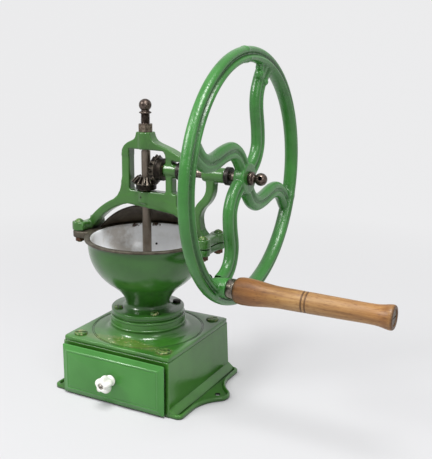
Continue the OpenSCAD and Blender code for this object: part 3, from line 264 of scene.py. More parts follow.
# The bead as inset and height, and the strip as place and height.
BEAD = [(0.3, 0.0), (0.0, 0.4), (0.0, 3.8), (0.5, 4.8), (1.4, 5.4), (2.5, 5.4), (3.4, 4.8),
        (4.0, 3.4), (4.7, 2.4)]
STRIP = [(74.0, 0.2), (85.5, 0.2), (85.5, 3.4), (84.6, 4.4), (77.2, 10.0), (76.2, 10.5),
         (74.0, 10.5)]
STRIP_ENDS = [(-76.2, 0.25), (-75.3, 0.0), (75.3, 0.0), (76.2, 0.25)]


def foot_loop(side, inset, z):
    """A foot's outline at one height: two rounded corners and two long hollows round the lug."""
    cove_y = sqrt((LUG[1] + COVE[1]) ** 2 - (COVE[0] - LUG[0]) ** 2)
    turn = degrees(atan2(cove_y, LUG[0] - COVE[0]))
    edge, end = FOOT_EDGE - inset, WALL_FOOT - 0.4 - inset
    turn_r = FOOT_TURN - inset * 0.6
    root = WALL_FOOT - FOOT_ROOT + inset / 2
    plan = [(root, -end)] + arc(edge - turn_r, -end + turn_r, turn_r, -90, 0, 8)
    plan += arc(COVE[0], -cove_y, COVE[1] + inset, 180, turn, 10)
    plan += arc(LUG[0], 0, LUG[1] - inset, turn - 180, 180 - turn, 22)
    plan += arc(COVE[0], cove_y, COVE[1] + inset, 360 - turn, 180, 10)
    plan += arc(edge - turn_r, end - turn_r, turn_r, 0, 90, 8) + [(root, end)]
    return [(side * x, y, z) for x, y in plan]


for side, label in ((1, "right"), (-1, "left")):
    wedge = piece(f"base_foot_strip_{label}", "frame",
                  [loft([[(side * (x - shy), y, z) for x, z in STRIP] for y, shy in STRIP_ENDS])],
                  [base_paint], crease=50)
    foot = piece(f"base_foot_{label}", "frame",
                 [loft([foot_loop(side, inset, z) for inset, z in BEAD])], [base_paint], crease=50)
    drill(foot, (side * LUG[0], 0, -3), (side * LUG[0], 0, 9), FOOT_HOLE, hole_oil_and_shade)


# Floor sheet and drawer tray: folded from tinned sheet iron. The floor closes the base from
# below, and the tray's front wall is riveted to the drawer's front.
def finish_node(material, *names):
    """Gives nodes that keep their own solid a finish, on every slot they have."""
    for name in names:
        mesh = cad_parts[name].data
        for index in range(len(mesh.materials)):
            mesh.materials[index] = material


# Hot-dipped tin: a dull, cloudy grey with streaks along the sheet.
tinned_sheet = bare_metal("tinned_sheet_iron", "#9a9690", "#6f6a62",
                          mottle_mm=12, metallic=0.85, roughness=0.42, stretch=(1, 0.4, 1))
finish_node(tinned_sheet, "floor_plate", "drawer_tray")


# Small hidden parts: rivets, pins, key, thrust pad, the handle's rod and small screws, turned
# from steel bar and driven or screwed in where the larger pieces meet.
# Turned steel: a clean grey with small dull spots.
turned_steel = bare_metal("turned_steel_small_parts", "#8d8780", "#5e5850",
                          mottle_mm=3, metallic=1.0, roughness=0.35)
finish_node(turned_steel, "drawer_rivets", "footstep_screws", "pinion_pin", "bevel_wheel_pin",
            "wheel_key", "thrust_pad", "burr_nut", "collar_screws", "handle_rod")


# Drawer front: a pressed iron panel with a broad sloped border and a fine double bead inside it,
# sprayed in a smoother coat of the same gloss green, and riveted to the tray. Its green is set
# lighter than the base's, partly a fresher coat and partly painted light for the light its front
# catches.
drawer_paint = gloss_paint("gloss_paint_on_drawer_panel", "#448739", "#3d7f32", "#37772c",
                           pit_mm=6.0, pit_depth=0.05, coat=0.2)
PANEL_W = 144.5
PANEL_Z = (1.7, 64.7)
PANEL_BACK = -79.5
# The border and the bead, as inset and height.
PANEL_STEPS = [(0.3, 0.0), (0.0, 0.3), (0.0, 1.3), (0.5, 1.9), (5.6, 3.4), (6.2, 3.75),
               (6.7, 4.25), (7.1, 4.45), (7.8, 4.4), (8.3, 4.1), (8.8, 3.95), (9.3, 4.1),
               (9.9, 4.4), (10.6, 4.5)]


def panel_loop(inset, depth):
    x, z0, z1 = PANEL_W / 2 - inset, PANEL_Z[0] + inset, PANEL_Z[1] - inset
    r = max(1.6 - inset * 0.1, 0.8)
    plan = arc(-x + r, z0 + r, r, 180, 270, 4) + arc(x - r, z0 + r, r, 270, 360, 4)
    plan += arc(x - r, z1 - r, r, 0, 90, 4) + arc(-x + r, z1 - r, r, 90, 180, 4)
    return [(px, PANEL_BACK - depth, pz) for px, pz in plan]


panel = piece("drawer_panel", "drawer", [loft([panel_loop(*step) for step in PANEL_STEPS])],
              [drawer_paint], crease=28)
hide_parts("drawer_front")


# Drawer knob: a moulded and fired porcelain knob with five round lobes, held to the drawer's
# front by one steel screw through its middle.
# Glazed porcelain: glassy white, with a faint warm tint and slow ripples in the thick glaze.
porcelain, tree, shader, place = new_finish("white_glazed_porcelain",
                                            {"Roughness": 0.12, "IOR": 1.52})
tint = add(tree, "ShaderNodeTexNoise", {"Vector": place, "Scale": 1 / (7 * MM), "Detail": 3.0})
glaze = add(tree, "ShaderNodeValToRGB", {"Fac": tint}, [(0.35, "#dedcd4"), (0.6, "#f4f3ee")])
ripple = add(tree, "ShaderNodeBump", {"Height": tint, "Distance": 0.15 * MM, "Strength": 0.3})
join(tree, shader, {"Base Color": glaze, "Normal": ripple})
# Dull steel: pale grey with a soft, spotty shine.
dull_steel = bare_metal("dull_steel_screw", "#b3aea6", "#7a746b",
                        mottle_mm=2, metallic=1.0, roughness=0.4)
KNOB_Z = 33.2
KNOB_FACE = -84.0
LOBES = 5
# Each step holds the distance out of the drawer, the radius and the share of the lobes.
KNOB_STEPS = [(0.0, 6.6, 0), (0.8, 6.8, 0), (1.8, 6.6, 0), (3.0, 6.0, 0), (4.4, 5.6, 0),
              (5.2, 5.7, 0), (6.2, 6.6, 0.03), (7.2, 7.9, 0.08), (8.6, 9.0, 0.115),
              (10.6, 9.65, 0.125), (13.0, 9.8, 0.125), (15.6, 9.5, 0.125), (17.8, 8.7, 0.125),
              (19.4, 7.5, 0.115), (20.4, 6.1, 0.09), (20.8, 4.9, 0.04), (20.6, 3.9, 0),
              (19.6, 3.5, 0), (19.0, 2.1, 0)]


def angles(steps):
    """Even steps round a full turn, in radians."""
    return [2 * pi * i / steps for i in range(steps)]


def knob_loop(out, radius, lobe):
    loop = []
    for t in angles(90):
        a = LOBES * (t - pi / 2)
        r = radius * (1 + lobe * cos(a) - 0.4 * lobe * (1 - abs(cos(a / 2))))
        loop.append((r * cos(t), KNOB_FACE - out, KNOB_Z + r * sin(t)))
    return loop


knob = piece("drawer_knob_porcelain", "drawer", [loft([knob_loop(*step) for step in KNOB_STEPS])],
             [porcelain], crease=60)
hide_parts("drawer_knob")
finish_node(dull_steel, "knob_screw")


# Top plate: a cast square plate with the grinding chamber standing on it. A double ring is cut
# round the chamber, a bead runs round its wall, and a wide cove joins it to the plate. Four
# screws hold it to the base's posts. The paint is rubbed thin in front and round one screw.
plate_paint = gloss_paint("gloss_paint_on_top_plate", "#40792c", "#387024", "#2d5f1d",
                          pit_mm=3.0, pit_depth=0.22, coat=0.3)
PLATE_TOP = 72.6
CHAMBER_R = 46.5
CHAMBER_TOP = 93.8
FRONT_WEAR = [0.0, -58.0 * MM, PLATE_TOP * MM]
CORNER_WEAR = [60.0 * MM, -60.0 * MM, PLATE_TOP * MM]

# Worn paint: a tired olive tinge, with sharp flecks of primer and rust in it.
tree = plate_paint.node_tree
coat = tree.nodes["Principled BSDF"].inputs["Base Color"]
place = tree.nodes["Texture Coordinate"].outputs["Object"]
fleck = add(tree, "ShaderNodeTexNoise", {"Vector": place, "Scale": 1 / (3.4 * MM), "Detail": 4.0,
                                         "Roughness": 0.65})
spot = add(tree, "ShaderNodeMapRange", {"Value": fleck, "From Min": 0.57, "From Max": 0.65})
front = add(tree, "ShaderNodeVectorMath", {0: place, 1: FRONT_WEAR}, operation="SUBTRACT")
near = add(tree, "ShaderNodeVectorMath", {0: front, 1: (1.0, 5.5, 12.0)}, operation="MULTIPLY")
far = add(tree, "ShaderNodeVectorMath", {0: near}, operation="LENGTH")
field = add(tree, "ShaderNodeMapRange", {"Value": far, "From Min": 0.066, "From Max": 0.044})
corner = add(tree, "ShaderNodeVectorMath", {0: place, 1: CORNER_WEAR}, operation="DISTANCE")
round_screw = add(tree, "ShaderNodeMapRange",
                  {"Value": corner, "From Min": 12.5 * MM, "From Max": 8.5 * MM})
rubbed = add(tree, "ShaderNodeMath", {0: field, 1: round_screw}, operation="MAXIMUM")
bare = add(tree, "ShaderNodeMath", {0: rubbed, 1: spot}, operation="MULTIPLY")
hue = add(tree, "ShaderNodeTexNoise", {"Vector": place, "Scale": 1 / (8 * MM), "Detail": 2.0})
primer = add(tree, "ShaderNodeValToRGB", {"Fac": hue},
             [(0.36, "#7a5a34"), (0.5, "#7f8a4a"), (0.64, "#c4cc9c")])
thin = add(tree, "ShaderNodeMath", {0: rubbed, 1: 0.3}, operation="MULTIPLY")
tired = add(tree, "ShaderNodeMix", {"Factor": thin, "A": coat.links[0].from_socket,
                                    "B": linear("#6f7436")}, data_type="RGBA")
worn = add(tree, "ShaderNodeMix", {"Factor": bare, "A": tired, "B": primer}, data_type="RGBA")
join(tree, tree.nodes["Principled BSDF"], {"Base Color": worn})

PLATE_STEPS = 168


def turned_z(profile, steps, x=0.0, y=0.0):
    """Loops of a shape turned about an upright axis, from pairs of radius and height."""
    return [[(x + r * cos(t), y + r * sin(t), z) for t in angles(steps)] for r, z in profile]


def square_loop(half, z, power=44):
    """A square with small round corners, point for point with a turned loop."""
    loop = []
    for t in angles(PLATE_STEPS):
        c, s = cos(t), sin(t)
        r = half / (abs(c) ** power + abs(s) ** power) ** (1 / power)
        loop.append((r * c, r * s, z))
    return loop


chamber = [(30.0, 71.0), (30.0, CHAMBER_TOP), (46.0, CHAMBER_TOP), (46.4, 93.5),
           (CHAMBER_R, 93.1), (CHAMBER_R, 91.4), (46.1, 91.1), (46.1, 90.6), (CHAMBER_R, 90.3)]
chamber += [(CHAMBER_R + 1.2 * cos(radians(a)), 83.4 + 1.5 * sin(radians(a)))
            for a in (80, 55, 25, 0, -25, -55, -80)]
chamber += [(CHAMBER_R + 9.3 - 9.3 * cos(radians(a)), PLATE_TOP + 8.9 - 8.9 * sin(radians(a)))
            for a in range(6, 91, 7)]
ring_cut = [(67.4, 72.6), (67.7, 72.5), (67.9, 71.9), (68.5, 71.9), (68.7, 72.5), (69.1, 72.6),
            (69.5, 72.5), (69.7, 71.9), (70.3, 71.9), (70.5, 72.5), (70.9, 72.6)]
plate_edge = [(73.9, 72.6), (74.6, 72.4), (74.9, 72.0), (75.0, 71.4), (75.0, 67.6), (74.7, 67.15)]
loops = turned_z(chamber + ring_cut, PLATE_STEPS) + [square_loop(*step) for step in plate_edge]
loops += turned_z([(27.0, 67.0), (27.0, 71.0)], PLATE_STEPS)
plate = piece("top_plate_casting", "frame", [loft(loops, ring=True)], [plate_paint], crease=40)
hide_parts("top_plate")


# Plate screws: four large slotted steel screws that hold the plate down. They were painted over
# with the plate, and the driver has chipped the paint.
# Chipped paint: flakes of green over pale primer and brown rust, with painted shade and some dirt
# in the slot.
chipped_paint, tree, shader, place = new_finish("chipped_paint_on_screw_heads", {"IOR": 1.5})
chips = add(tree, "ShaderNodeTexNoise", {"Vector": place, "Scale": 1 / (3.2 * MM), "Detail": 4.0,
                                         "Roughness": 0.65})
coats = add(tree, "ShaderNodeValToRGB", {"Fac": chips},
            [(0.34, "#1f3a14"), (0.47, "#3f6a2a"), (0.56, "#5f7a3c"), (0.62, "#a9a778"),
             (0.68, "#6a4c2c")])
# Painted shade: ambient occlusion darkens the slot and crevices, with some dirt.
crevice = add(tree, "ShaderNodeAmbientOcclusion", {"Distance": 3 * MM}, samples=4)
slot_shade_and_grime = add(tree, "ShaderNodeValToRGB", {"Fac": crevice.outputs["AO"]},
            [(0.25, "#1a1f0e"), (0.75, "#ffffff")])
shaded_and_grimy = add(tree, "ShaderNodeMix", {"Factor": 0.95, "A": coats, "B": slot_shade_and_grime},
            data_type="RGBA", blend_type="MULTIPLY")
gleam = add(tree, "ShaderNodeMapRange", {"Value": chips, "To Min": 0.2, "To Max": 0.5})
flaked = add(tree, "ShaderNodeBump", {"Height": chips, "Distance": 0.4 * MM, "Strength": 0.6})
join(tree, shader, {"Base Color": shaded_and_grimy, "Roughness": gleam, "Normal": flaked})
PLATE_SCREWS = ((-60, -60, 35), (60, -60, 20), (60, 60, 50), (-60, 60, 75))


def slotted_screw(x, y, z, r, rise, slot, turn, shank, foot):
    """An upright slotted screw: its shank and its head up to the slot's floor, and then the two
    halves of the head beside the slot."""
    bed = z + 0.4 * rise
    shells = [loft(turned_z([(shank, foot), (shank, z), (r, z), (r, bed)], 36, x, y))]
    steps = [(0.0, bed), (0.0, z + 0.6 * rise), (0.06 * r, z + 0.85 * rise), (0.22 * r, z + rise)]
    for start in (turn, turn + 180):
        loops = []
        for inset, height in steps:
            gap = degrees(asin(slot / 2 / (r - inset)))
            half = arc(0, 0, r - inset, start + gap, start + 180 - gap, 18)
            loops.append([(x + px, y + py, height) for px, py in half])
        shells.append(loft(loops))
    return shells


heads = [shell for x, y, turn in PLATE_SCREWS
         for shell in slotted_screw(x, y, PLATE_TOP, r=8.0, rise=2.4, slot=2.0, turn=turn,
                                    shank=3.4, foot=54.0)]
plate_screws = piece("plate_screws_slotted", "frame", heads, [chipped_paint], crease=40)
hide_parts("plate_screws")


# Hopper: one casting of flange, neck, bowl and two ears, screwed to the chamber. The outside is
# painted, the rim is bare, and the bowl is lined with white enamel, fused on in the kiln.
# Its greens are set darker than the base's, partly as painted shade for the neck under the bowl,
# and its painted shade in corners reaches 14 mm.
hopper_paint = gloss_paint("gloss_paint_on_hopper", "#346c21", "#2c611a", "#235313",
                           pit_mm=4.0, pit_depth=0.16, shade_and_dirt_mm=14)
# Bare iron, browned by hands: a dull brown in soft clouds.
bare_rim = bare_metal("browned_bare_iron_rim", "#5d574b", "#3e372d",
                      mottle_mm=9, metallic=0.55, roughness=0.46)
# Vitreous enamel: glassy white in slow waves, with warm stains, a black chip, and rust in sharp
# patches where the rim has lost it at the back.
CHIP = [-24.4 * MM, 60.2 * MM, 163.7 * MM]
enamel, tree, shader, place = new_finish("stained_white_vitreous_enamel",
                                         {"Roughness": 0.16, "IOR": 1.5})
spread = add(tree, "ShaderNodeSeparateXYZ", {"Vector": place}).outputs
stain = add(tree, "ShaderNodeTexNoise", {"Vector": place, "Scale": 1 / (38 * MM), "Detail": 4.0,
                                         "Roughness": 0.6})
lining = add(tree, "ShaderNodeValToRGB", {"Fac": stain},
             [(0.34, "#cdc7c0"), (0.46, "#eeeeee"), (0.56, "#fafbfd")])
flakes = add(tree, "ShaderNodeTexNoise", {"Vector": place, "Scale": 1 / (5 * MM), "Detail": 5.0,
                                          "Roughness": 0.7})
near_rim = add(tree, "ShaderNodeMapRange",
               {"Value": spread["Z"], "From Min": 181.5 * MM, "From Max": 188.0 * MM})
at_back = add(tree, "ShaderNodeMapRange",
              {"Value": spread["Y"], "From Min": 30.0 * MM, "From Max": 42.0 * MM})
across = add(tree, "ShaderNodeMapRange",
             {"Value": spread["X"], "From Min": -54.0 * MM, "From Max": -18.0 * MM})
patches = add(tree, "ShaderNodeValToRGB", {"Fac": across},
              [(0.0, "#000000"), (0.08, "#ffffff"), (0.28, "#ffffff"), (0.38, "#000000"),
               (0.55, "#000000"), (0.65, "#ffffff"), (0.92, "#ffffff"), (1.0, "#000000")])
rust = add(tree, "ShaderNodeMath", {0: near_rim, 1: at_back}, operation="MULTIPLY")
for mask in (patches, flakes):
    rust = add(tree, "ShaderNodeMath", {0: rust, 1: mask}, operation="MULTIPLY")
rust_edge = add(tree, "ShaderNodeMapRange", {"Value": rust, "From Min": 0.42, "From Max": 0.5})
rusted = add(tree, "ShaderNodeMix", {"Factor": rust_edge, "A": lining, "B": linear("#3d2413")},
             data_type="RGBA")
pit = add(tree, "ShaderNodeVectorMath", {0: place, 1: CHIP}, operation="DISTANCE")
pit_edge = add(tree, "ShaderNodeMapRange",
               {"Value": pit, "From Min": 1.9 * MM, "From Max": 1.2 * MM})
chipped = add(tree, "ShaderNodeMix", {"Factor": pit_edge, "A": rusted, "B": linear("#15100c")},
              data_type="RGBA")
wave = add(tree, "ShaderNodeBump", {"Height": stain, "Distance": 0.8 * MM, "Strength": 0.35})
join(tree, shader, {"Base Color": chipped, "Normal": wave})
RIM_Z = 191.8
BOWL_Z = 182.3
BOWL_OUT = (72.3, 64.5)
BOWL_IN = (68.3, 60.5)
# The bolts' distance from the middle, along X and along Y.
EAR = (89.0, 18.5)
EAR_ROOT = 70.6
EAR_STEPS = [(-1.2, 183.4), (-0.3, 184.0), (0.0, 185.0), (0.0, 190.6), (-0.4, 191.4),
             (-1.2, 191.7)]


def bowl_curve(r, depth, a0, a1, steps):
    turn = [radians(a0 + (a1 - a0) * i / steps) for i in range(steps + 1)]
    return [(r * sin(a), BOWL_Z - depth * cos(a)) for a in turn]


hopper_out = [(21.0, 93.8), (44.9, 93.85), (45.4, 94.4), (45.4, 96.9), (45.0, 97.2), (45.0, 97.7),
              (45.4, 98.0), (45.4, 101.2), (45.1, 101.6), (44.6, 101.8), (34.4, 101.8),
              (31.6, 102.2), (29.5, 103.3), (28.1, 104.9), (27.3, 106.6)]
hopper_out += [(27.2 + 18.0 * (i / 14) ** 1.7, 107.8 + 24.2 * i / 14) for i in range(14)]
hopper_out += bowl_curve(*BOWL_OUT, 39.5, 90, 26)
hopper_out += [(72.3, 187.6), (72.7, 188.4), (73.6, 188.8), (75.7, 188.9), (76.2, 189.1)]
hopper_rim = [(76.2, 189.1), (76.5, 189.6), (76.5, 191.1), (76.2, 191.6), (75.6, RIM_Z),
              (71.2, RIM_Z), (70.2, 191.5), (69.4, 190.8)]
hopper_in = [(69.4, 190.8), (68.8, 189.8), (68.3, 188.4)] + bowl_curve(*BOWL_IN, 90, 18.0, 30)
hopper_in += [(20.4, 124.2), (20.0, 122.6), (20.0, 103.0), (26.0, 94.2), (21.0, 93.8)]
skins = [loft(turned_z(line, 144), ends=False) for line in (hopper_out, hopper_rim, hopper_in)]
hopper = piece("hopper_bowl", "frame", skins, [hopper_paint, bare_rim, enamel], crease=45)
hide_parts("hopper")


def ear_loop(side, inner, grow, z):
    """An ear's outline at one height: two round lobes for the bolts, and the web between them."""
    half = [(inner, -EAR[1] - 5.5 - grow)] + arc(EAR[0], -EAR[1], 8.0 + grow, -112, 48, 12)
    half += [(EAR[0] + 5.2 + grow, -EAR[1] + 9.5), (EAR[0] + 4.8 + grow, -4.0)]
    plan = half + [(x, -y) for x, y in reversed(half)]
    return [(side * x, y, z) for x, y in plan]


for side, label, finish in ((1, "right", hopper_paint), (-1, "left", bare_rim)):
    ear = piece(f"hopper_ear_{label}", "frame",
                [loft([ear_loop(side, EAR_ROOT, *step) for step in EAR_STEPS])], [finish],
                crease=50)


# Flange screws: four slotted steel screws that hold the hopper down on the chamber. One is a
# blackened spare, and the others were painted over.
# Blackened steel: near black, with a soft sheen where it is less worn.
blackened = bare_metal("blackened_steel_screws", "#3a3733", "#191715",
                       mottle_mm=3, metallic=0.8, roughness=0.36)
FLANGE_TOP = 101.8
FLANGE_CIRCLE = 37.5
flange_heads = []
for quarter in range(4):
    a = radians(45 + 90 * quarter)
    flange_heads.append(slotted_screw(FLANGE_CIRCLE * cos(a), FLANGE_CIRCLE * sin(a), FLANGE_TOP,
                                      r=5.2, rise=3.0, slot=1.4, turn=20 + 50 * quarter,
                                      shank=2.4, foot=84.0))
bare_screw = piece("hopper_flange_screw_bare", "frame", flange_heads[0], [blackened], crease=40)
painted_screws = piece("hopper_flange_screws", "frame", sum(flange_heads[1:], []),
                       [chipped_paint], crease=40)
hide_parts("hopper_screws")


# Burrs and footstep: a ring and a cone of chilled cast iron that grind in the chamber, over a
# bar that guides the spindle's foot.
# Ground iron: dark grey, dusty brown with old coffee.
burr_iron = bare_metal("ground_chilled_iron", "#6a625a", "#37302a",
                       mottle_mm=2, metallic=0.9, roughness=0.45)
finish_node(burr_iron, "outer_burr", "inner_burr", "footstep_bar")


# Half dome: a lid spun from thin sheet that covers the rear of the bowl, painted outside and
# left bare inside, with its front edge rolled over a wire. It rests loose on the rim.
# Browned sheet: a dark, dull brown in broad clouds.
dome_brown = bare_metal("browned_sheet_dome_inside", "#483f31", "#2f271c",
                        mottle_mm=16, metallic=0.35, roughness=0.5)
DOME_R = 96.2
DOME_Z = 132.35
DOME_CUT = 6.6
DOME_SPAN = (4.2, 51.2)
SHEET_T = 1.5
ROLL_R = 1.1
ROWS, COLS = 25, 65


def dome_skin(r):
    """Points of a half dome from its top to its foot, row by row, cut off flat in front."""
    points = []
    for i in range(ROWS):
        down = radians(DOME_SPAN[0] + (DOME_SPAN[1] - DOME_SPAN[0]) * i / (ROWS - 1))
        start = asin(min(DOME_CUT / (r * sin(down)), 1.0))
        for j in range(COLS):
            t = start + (pi - 2 * start) * j / (COLS - 1)
            points.append((r * sin(down) * cos(t), r * sin(down) * sin(t), DOME_Z + r * cos(down)))
    return points


def tube(path, radius, sides=10):
    """A round bar along a line of points."""
    loops = []
    for k, p in enumerate(path):
        ahead = Vector(path[min(k + 1, len(path) - 1)]) - Vector(path[max(k - 1, 0)])
        turn = ahead.to_track_quat("Z", "Y").to_matrix()
        loops.append([tuple(Vector(p) + turn @ Vector((radius * cos(t), radius * sin(t), 0)))
                      for t in angles(sides)])
    return loft(loops)


skin, inner_skin = dome_skin(DOME_R), dome_skin(DOME_R - SHEET_T)
grid = [(k, k + 1, k + COLS + 1, k + COLS)
        for k in (a * COLS + j for a in range(ROWS - 1) for j in range(COLS - 1))]
border = [a * COLS for a in range(ROWS)] + [(ROWS - 1) * COLS + j for j in range(1, COLS)]
border += [a * COLS + COLS - 1 for a in range(ROWS - 2, -1, -1)]
border += list(range(COLS - 2, 0, -1))
seam = [(a, b, b + len(skin), a + len(skin)) for a, b in zip(border, border[1:] + border[:1])]
inside = (skin + inner_skin, [tuple(i + len(skin) for i in face) for face in grid] + seam)
dome = piece("hopper_half_dome", "lid", [(skin, grid), inside], [hopper_paint, dome_brown],
             crease=50)
wire_r = sqrt((DOME_R - 0.8) ** 2 - DOME_CUT ** 2)
wire = [(x, DOME_CUT + 0.4, z) for x, z in arc(0, DOME_Z, wire_r, 39.6, 140.4, 60)]
edge = piece("hopper_half_dome_rolled_edge", "lid", [tube(wire, ROLL_R)], [dome_brown])
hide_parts("hopper_lid")


# Bridge: one casting of an arch over the bowl, a window for the gears, two bearing bosses and a
# bent arm to the outer bearing, bolted to the hopper's ears. It was cast in sand, so every edge
# is round, and it is painted all over. Its greens are set darker than the base's as painted
# shade, and painted shade, with some dirt, reaches into its deep corners and its window.
bridge_paint = gloss_paint("gloss_paint_on_bridge", "#3d712a", "#356621", "#2b5718",
                           pit_mm=3.5, pit_depth=0.3, shade_and_dirt_mm=25, gloss=(0.18, 0.3))
SHAFT_Z = 276.1
ARCH_Z = 138.3
ARCH = (95.5, 106.0)
# The window's left side, right side, sill and head.
WINDOW = (-22.0, 33.0, 248.8, 298.8)
BOSS_TOP = 319.8
SPINDLE_BOSS = 9.9
SHAFT_BOSS = 8.9
ARM = (72.0, 90.0)
ARM_LEAN = 48
ARM_HALF = 5.0
PAD_ROOT = 79.5
PAD_FOOT = RIM_Z + 0.35
PAD_STEPS = [(-0.2, PAD_FOOT), (-0.2, 198.0), (-1.2, 200.8), (-3.0, 202.0)]
PAD_BOSS = (8.8, 203.3)
OIL_HOLE = (-2.0, 241.3, 1.1)


def upright(outline, thickness):
    """A front view in X and Z, given a thickness front to back."""
    return loft([[(x, y, z) for x, z in outline] for y in (-thickness / 2, thickness / 2)])


def turned_x(profile, steps, y, z):
    """Loops of a shape turned about an axis along X, from pairs of place and radius."""
    return [[(x, y + r * cos(t), z + r * sin(t)) for t in angles(steps)] for x, r in profile]


def as_cast(obj, voxel, passes):
    """Melts the joined shapes into one casting with soft inner and outer corners."""
    remesh = obj.modifiers.new("one_casting", "REMESH")
    remesh.mode = "VOXEL"
    remesh.voxel_size = voxel * MM
    remesh.use_smooth_shade = True
    smooth = obj.modifiers.new("soft_corners", "SMOOTH")
    smooth.factor = 0.5
    smooth.iterations = passes


left, right, sill, head = WINDOW
arch_band = arc(0, ARCH_Z, ARCH[1], 30.2, 149.8, 60) + arc(0, ARCH_Z, ARCH[0], 146.0, 34.0, 60)
low_bar = [(left - 9, 231.5), (right + 13, 224.0), (right + 13, sill), (left - 9, sill)]
left_post = [(-31.6, 240.0), (-20.4, 240.0), (-20.4, head + 1), (-31.0, head - 5), (-31.4, 265.0)]
left_fillet = [(-31.6, 262.0), (-32.9, 252.9), (-34.6, 246.5), (-38.5, 239.9), (-44.6, 234.4),
               (-52.3, 230.0), (-40.0, 226.0), (-26.0, 230.0), (-26.0, 262.0)]
right_post = [(30.6, 228.0), (39.2, 224.0), (39.2, head - 6), (30.6, head - 1)]
crown = [(-31.2, head - 9), (-30.8, 293.6), (-30.2, 297.3), (-28.0, 301.1), (-25.0, 304.2),
         (-22.0, 306.3), (-17.7, 308.3), (-14.0, 309.9), (-11.5, 312.0), (-10.2, 315.0),
         (-9.4, BOSS_TOP), (9.4, BOSS_TOP), (10.0, 316.2), (11.6, 312.4), (14.5, 309.2),
         (19.5, 306.8), (27.0, 304.5), (35.5, 301.6), (43.5, 298.0), (53.6, 293.2),
         (54.0, 288.2), (46.0, 287.6), (right, head - 8), (right - 5, head), (-20.4, head),
         (-20.4, head - 9)]
lean = radians(ARM_LEAN)
bend = (ARM[1] - ARM[0]) / (2 * (1 - cos(lean)))
low, high = ARM[0] + bend, ARM[1] - bend
high_z = SHAFT_Z - 14
low_z = high_z - 2 * bend * sin(lean)
arm = [(66.6, 204.0)] + arc(low, low_z, bend + ARM_HALF, 180, 180 - ARM_LEAN, 10)
arm += arc(high, high_z, bend - ARM_HALF, -ARM_LEAN, 0, 10) + [(84.4, SHAFT_Z), (95.6, SHAFT_Z)]
arm += arc(high, high_z, bend + ARM_HALF, 0, -ARM_LEAN, 10)
arm += arc(low, low_z, bend - ARM_HALF, 180 - ARM_LEAN, 180, 10) + [(80.0, 202.0)]
shapes = [upright(outline, thickness) for outline, thickness in (
    (arch_band, 15.5), (low_bar, 14.5), (left_post, 13.5), (left_fillet, 14.5),
    (right_post, 13.5), (crown, 15), (arm, 13.4))]
shapes += [loft(turned_z([(SPINDLE_BOSS, z0), (SPINDLE_BOSS, z1)], 40))
           for z0, z1 in ((233.6, sill), (head, BOSS_TOP))]
shapes += [loft(turned_x([(x0, SHAFT_BOSS), (x1, SHAFT_BOSS)], 40, 0.0, SHAFT_Z))
           for x0, x1 in ((27.1, 46.1), (80.0, 109.0))]
shapes += [loft([ear_loop(side, PAD_ROOT, *step) for step in PAD_STEPS]) for side in (-1, 1)]
shapes += [loft(turned_z([(PAD_BOSS[0], PAD_FOOT), PAD_BOSS], 40, side * EAR[0], end * EAR[1]))
           for side in (-1, 1) for end in (-1, 1)]
bridge = piece("bridge_casting", "frame", shapes, [bridge_paint])
as_cast(bridge, voxel=1.0, passes=9)
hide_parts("bridge")
# The oil hole is a black disc set flush in the boss's front: painted shade for a hole's dark
# inside.
x, z, r = OIL_HOLE
oil_hole_shade_disc = piece("bridge_oil_hole_shade_disc", "frame",
                 [loft([[(x + r * cos(t), y, z + r * sin(t)) for t in angles(20)]
                        for y in (-9.9, -6.0)])], [blackened])


# Bridge bolts and nuts: four steel bolts through the bridge's feet and the hopper's ears. The
# heads were painted over and are chipped, and the nuts below have rusted.
# Rusted steel: matt red brown, darker in spots.
rusty = bare_metal("rusted_steel_nuts", "#6d4a33", "#2f1d14",
                   mottle_mm=2.5, metallic=0.5, roughness=0.6)
finish_node(chipped_paint, "bridge_bolts")
finish_node(rusty, "bridge_nuts")


# Bushes: short sleeves, turned from brass and pressed into the bosses, in which the spindle and
# the shaft run. Only their end rings show.
# Dull brass: brown gold, with a low shine.
brass = bare_metal("dull_turned_brass", "#a58a4f", "#6d5628",
                   mottle_mm=4, metallic=1.0, roughness=0.4)
finish_node(brass, "spindle_top_bush", "spindle_low_bush", "shaft_inner_bush", "shaft_outer_bush")


# Spindle, drive shaft and collars: turned from steel bar. The two cross in the bridge's window,
# and blackened collars on the shaft keep it from sliding.
# Turned steel, browned under old oil: long soft tones on the spindle, fine rings on the shaft.
spindle_steel = bare_metal("browned_turned_spindle", "#81776d", "#665c52",
                           mottle_mm=14, metallic=0.85, roughness=0.36, stretch=(1, 1, 0.5))
shaft_steel = bare_metal("browned_turned_shaft", "#7f766c", "#4e463f",
                         mottle_mm=6, metallic=0.9, roughness=0.32, stretch=(6, 1, 1))
finish_node(spindle_steel, "spindle")
finish_node(shaft_steel, "drive_shaft")
finish_node(blackened, "inner_collar", "shaft_collar")


# Bevel gears: a pair of equal cast iron gears with straight teeth, one pinned to the spindle and
# one to the shaft, that turn the drive through a right angle.
# Oily iron: black, with bright edges where the teeth rub.
gear_iron, tree, shader, place = new_finish("oily_cast_gear_iron", {"Metallic": 0.85})
film = add(tree, "ShaderNodeTexNoise", {"Vector": place, "Scale": 1 / (4 * MM), "Detail": 4.0})
oil = add(tree, "ShaderNodeValToRGB", {"Fac": film}, [(0.35, "#120f0c"), (0.65, "#2c2620")])
crest = add(tree, "ShaderNodeNewGeometry").outputs["Pointiness"]
rubbed = add(tree, "ShaderNodeMapRange", {"Value": crest, "From Min": 0.55, "From Max": 0.64})
bright = add(tree, "ShaderNodeMix", {"Factor": rubbed, "A": oil, "B": linear("#8b8175")},
             data_type="RGBA")
slick = add(tree, "ShaderNodeMapRange", {"Value": film, "To Min": 0.28, "To Max": 0.5})
dents = add(tree, "ShaderNodeBump", {"Height": film, "Distance": 0.2 * MM, "Strength": 0.5})
join(tree, shader, {"Base Color": bright, "Roughness": slick, "Normal": dents})
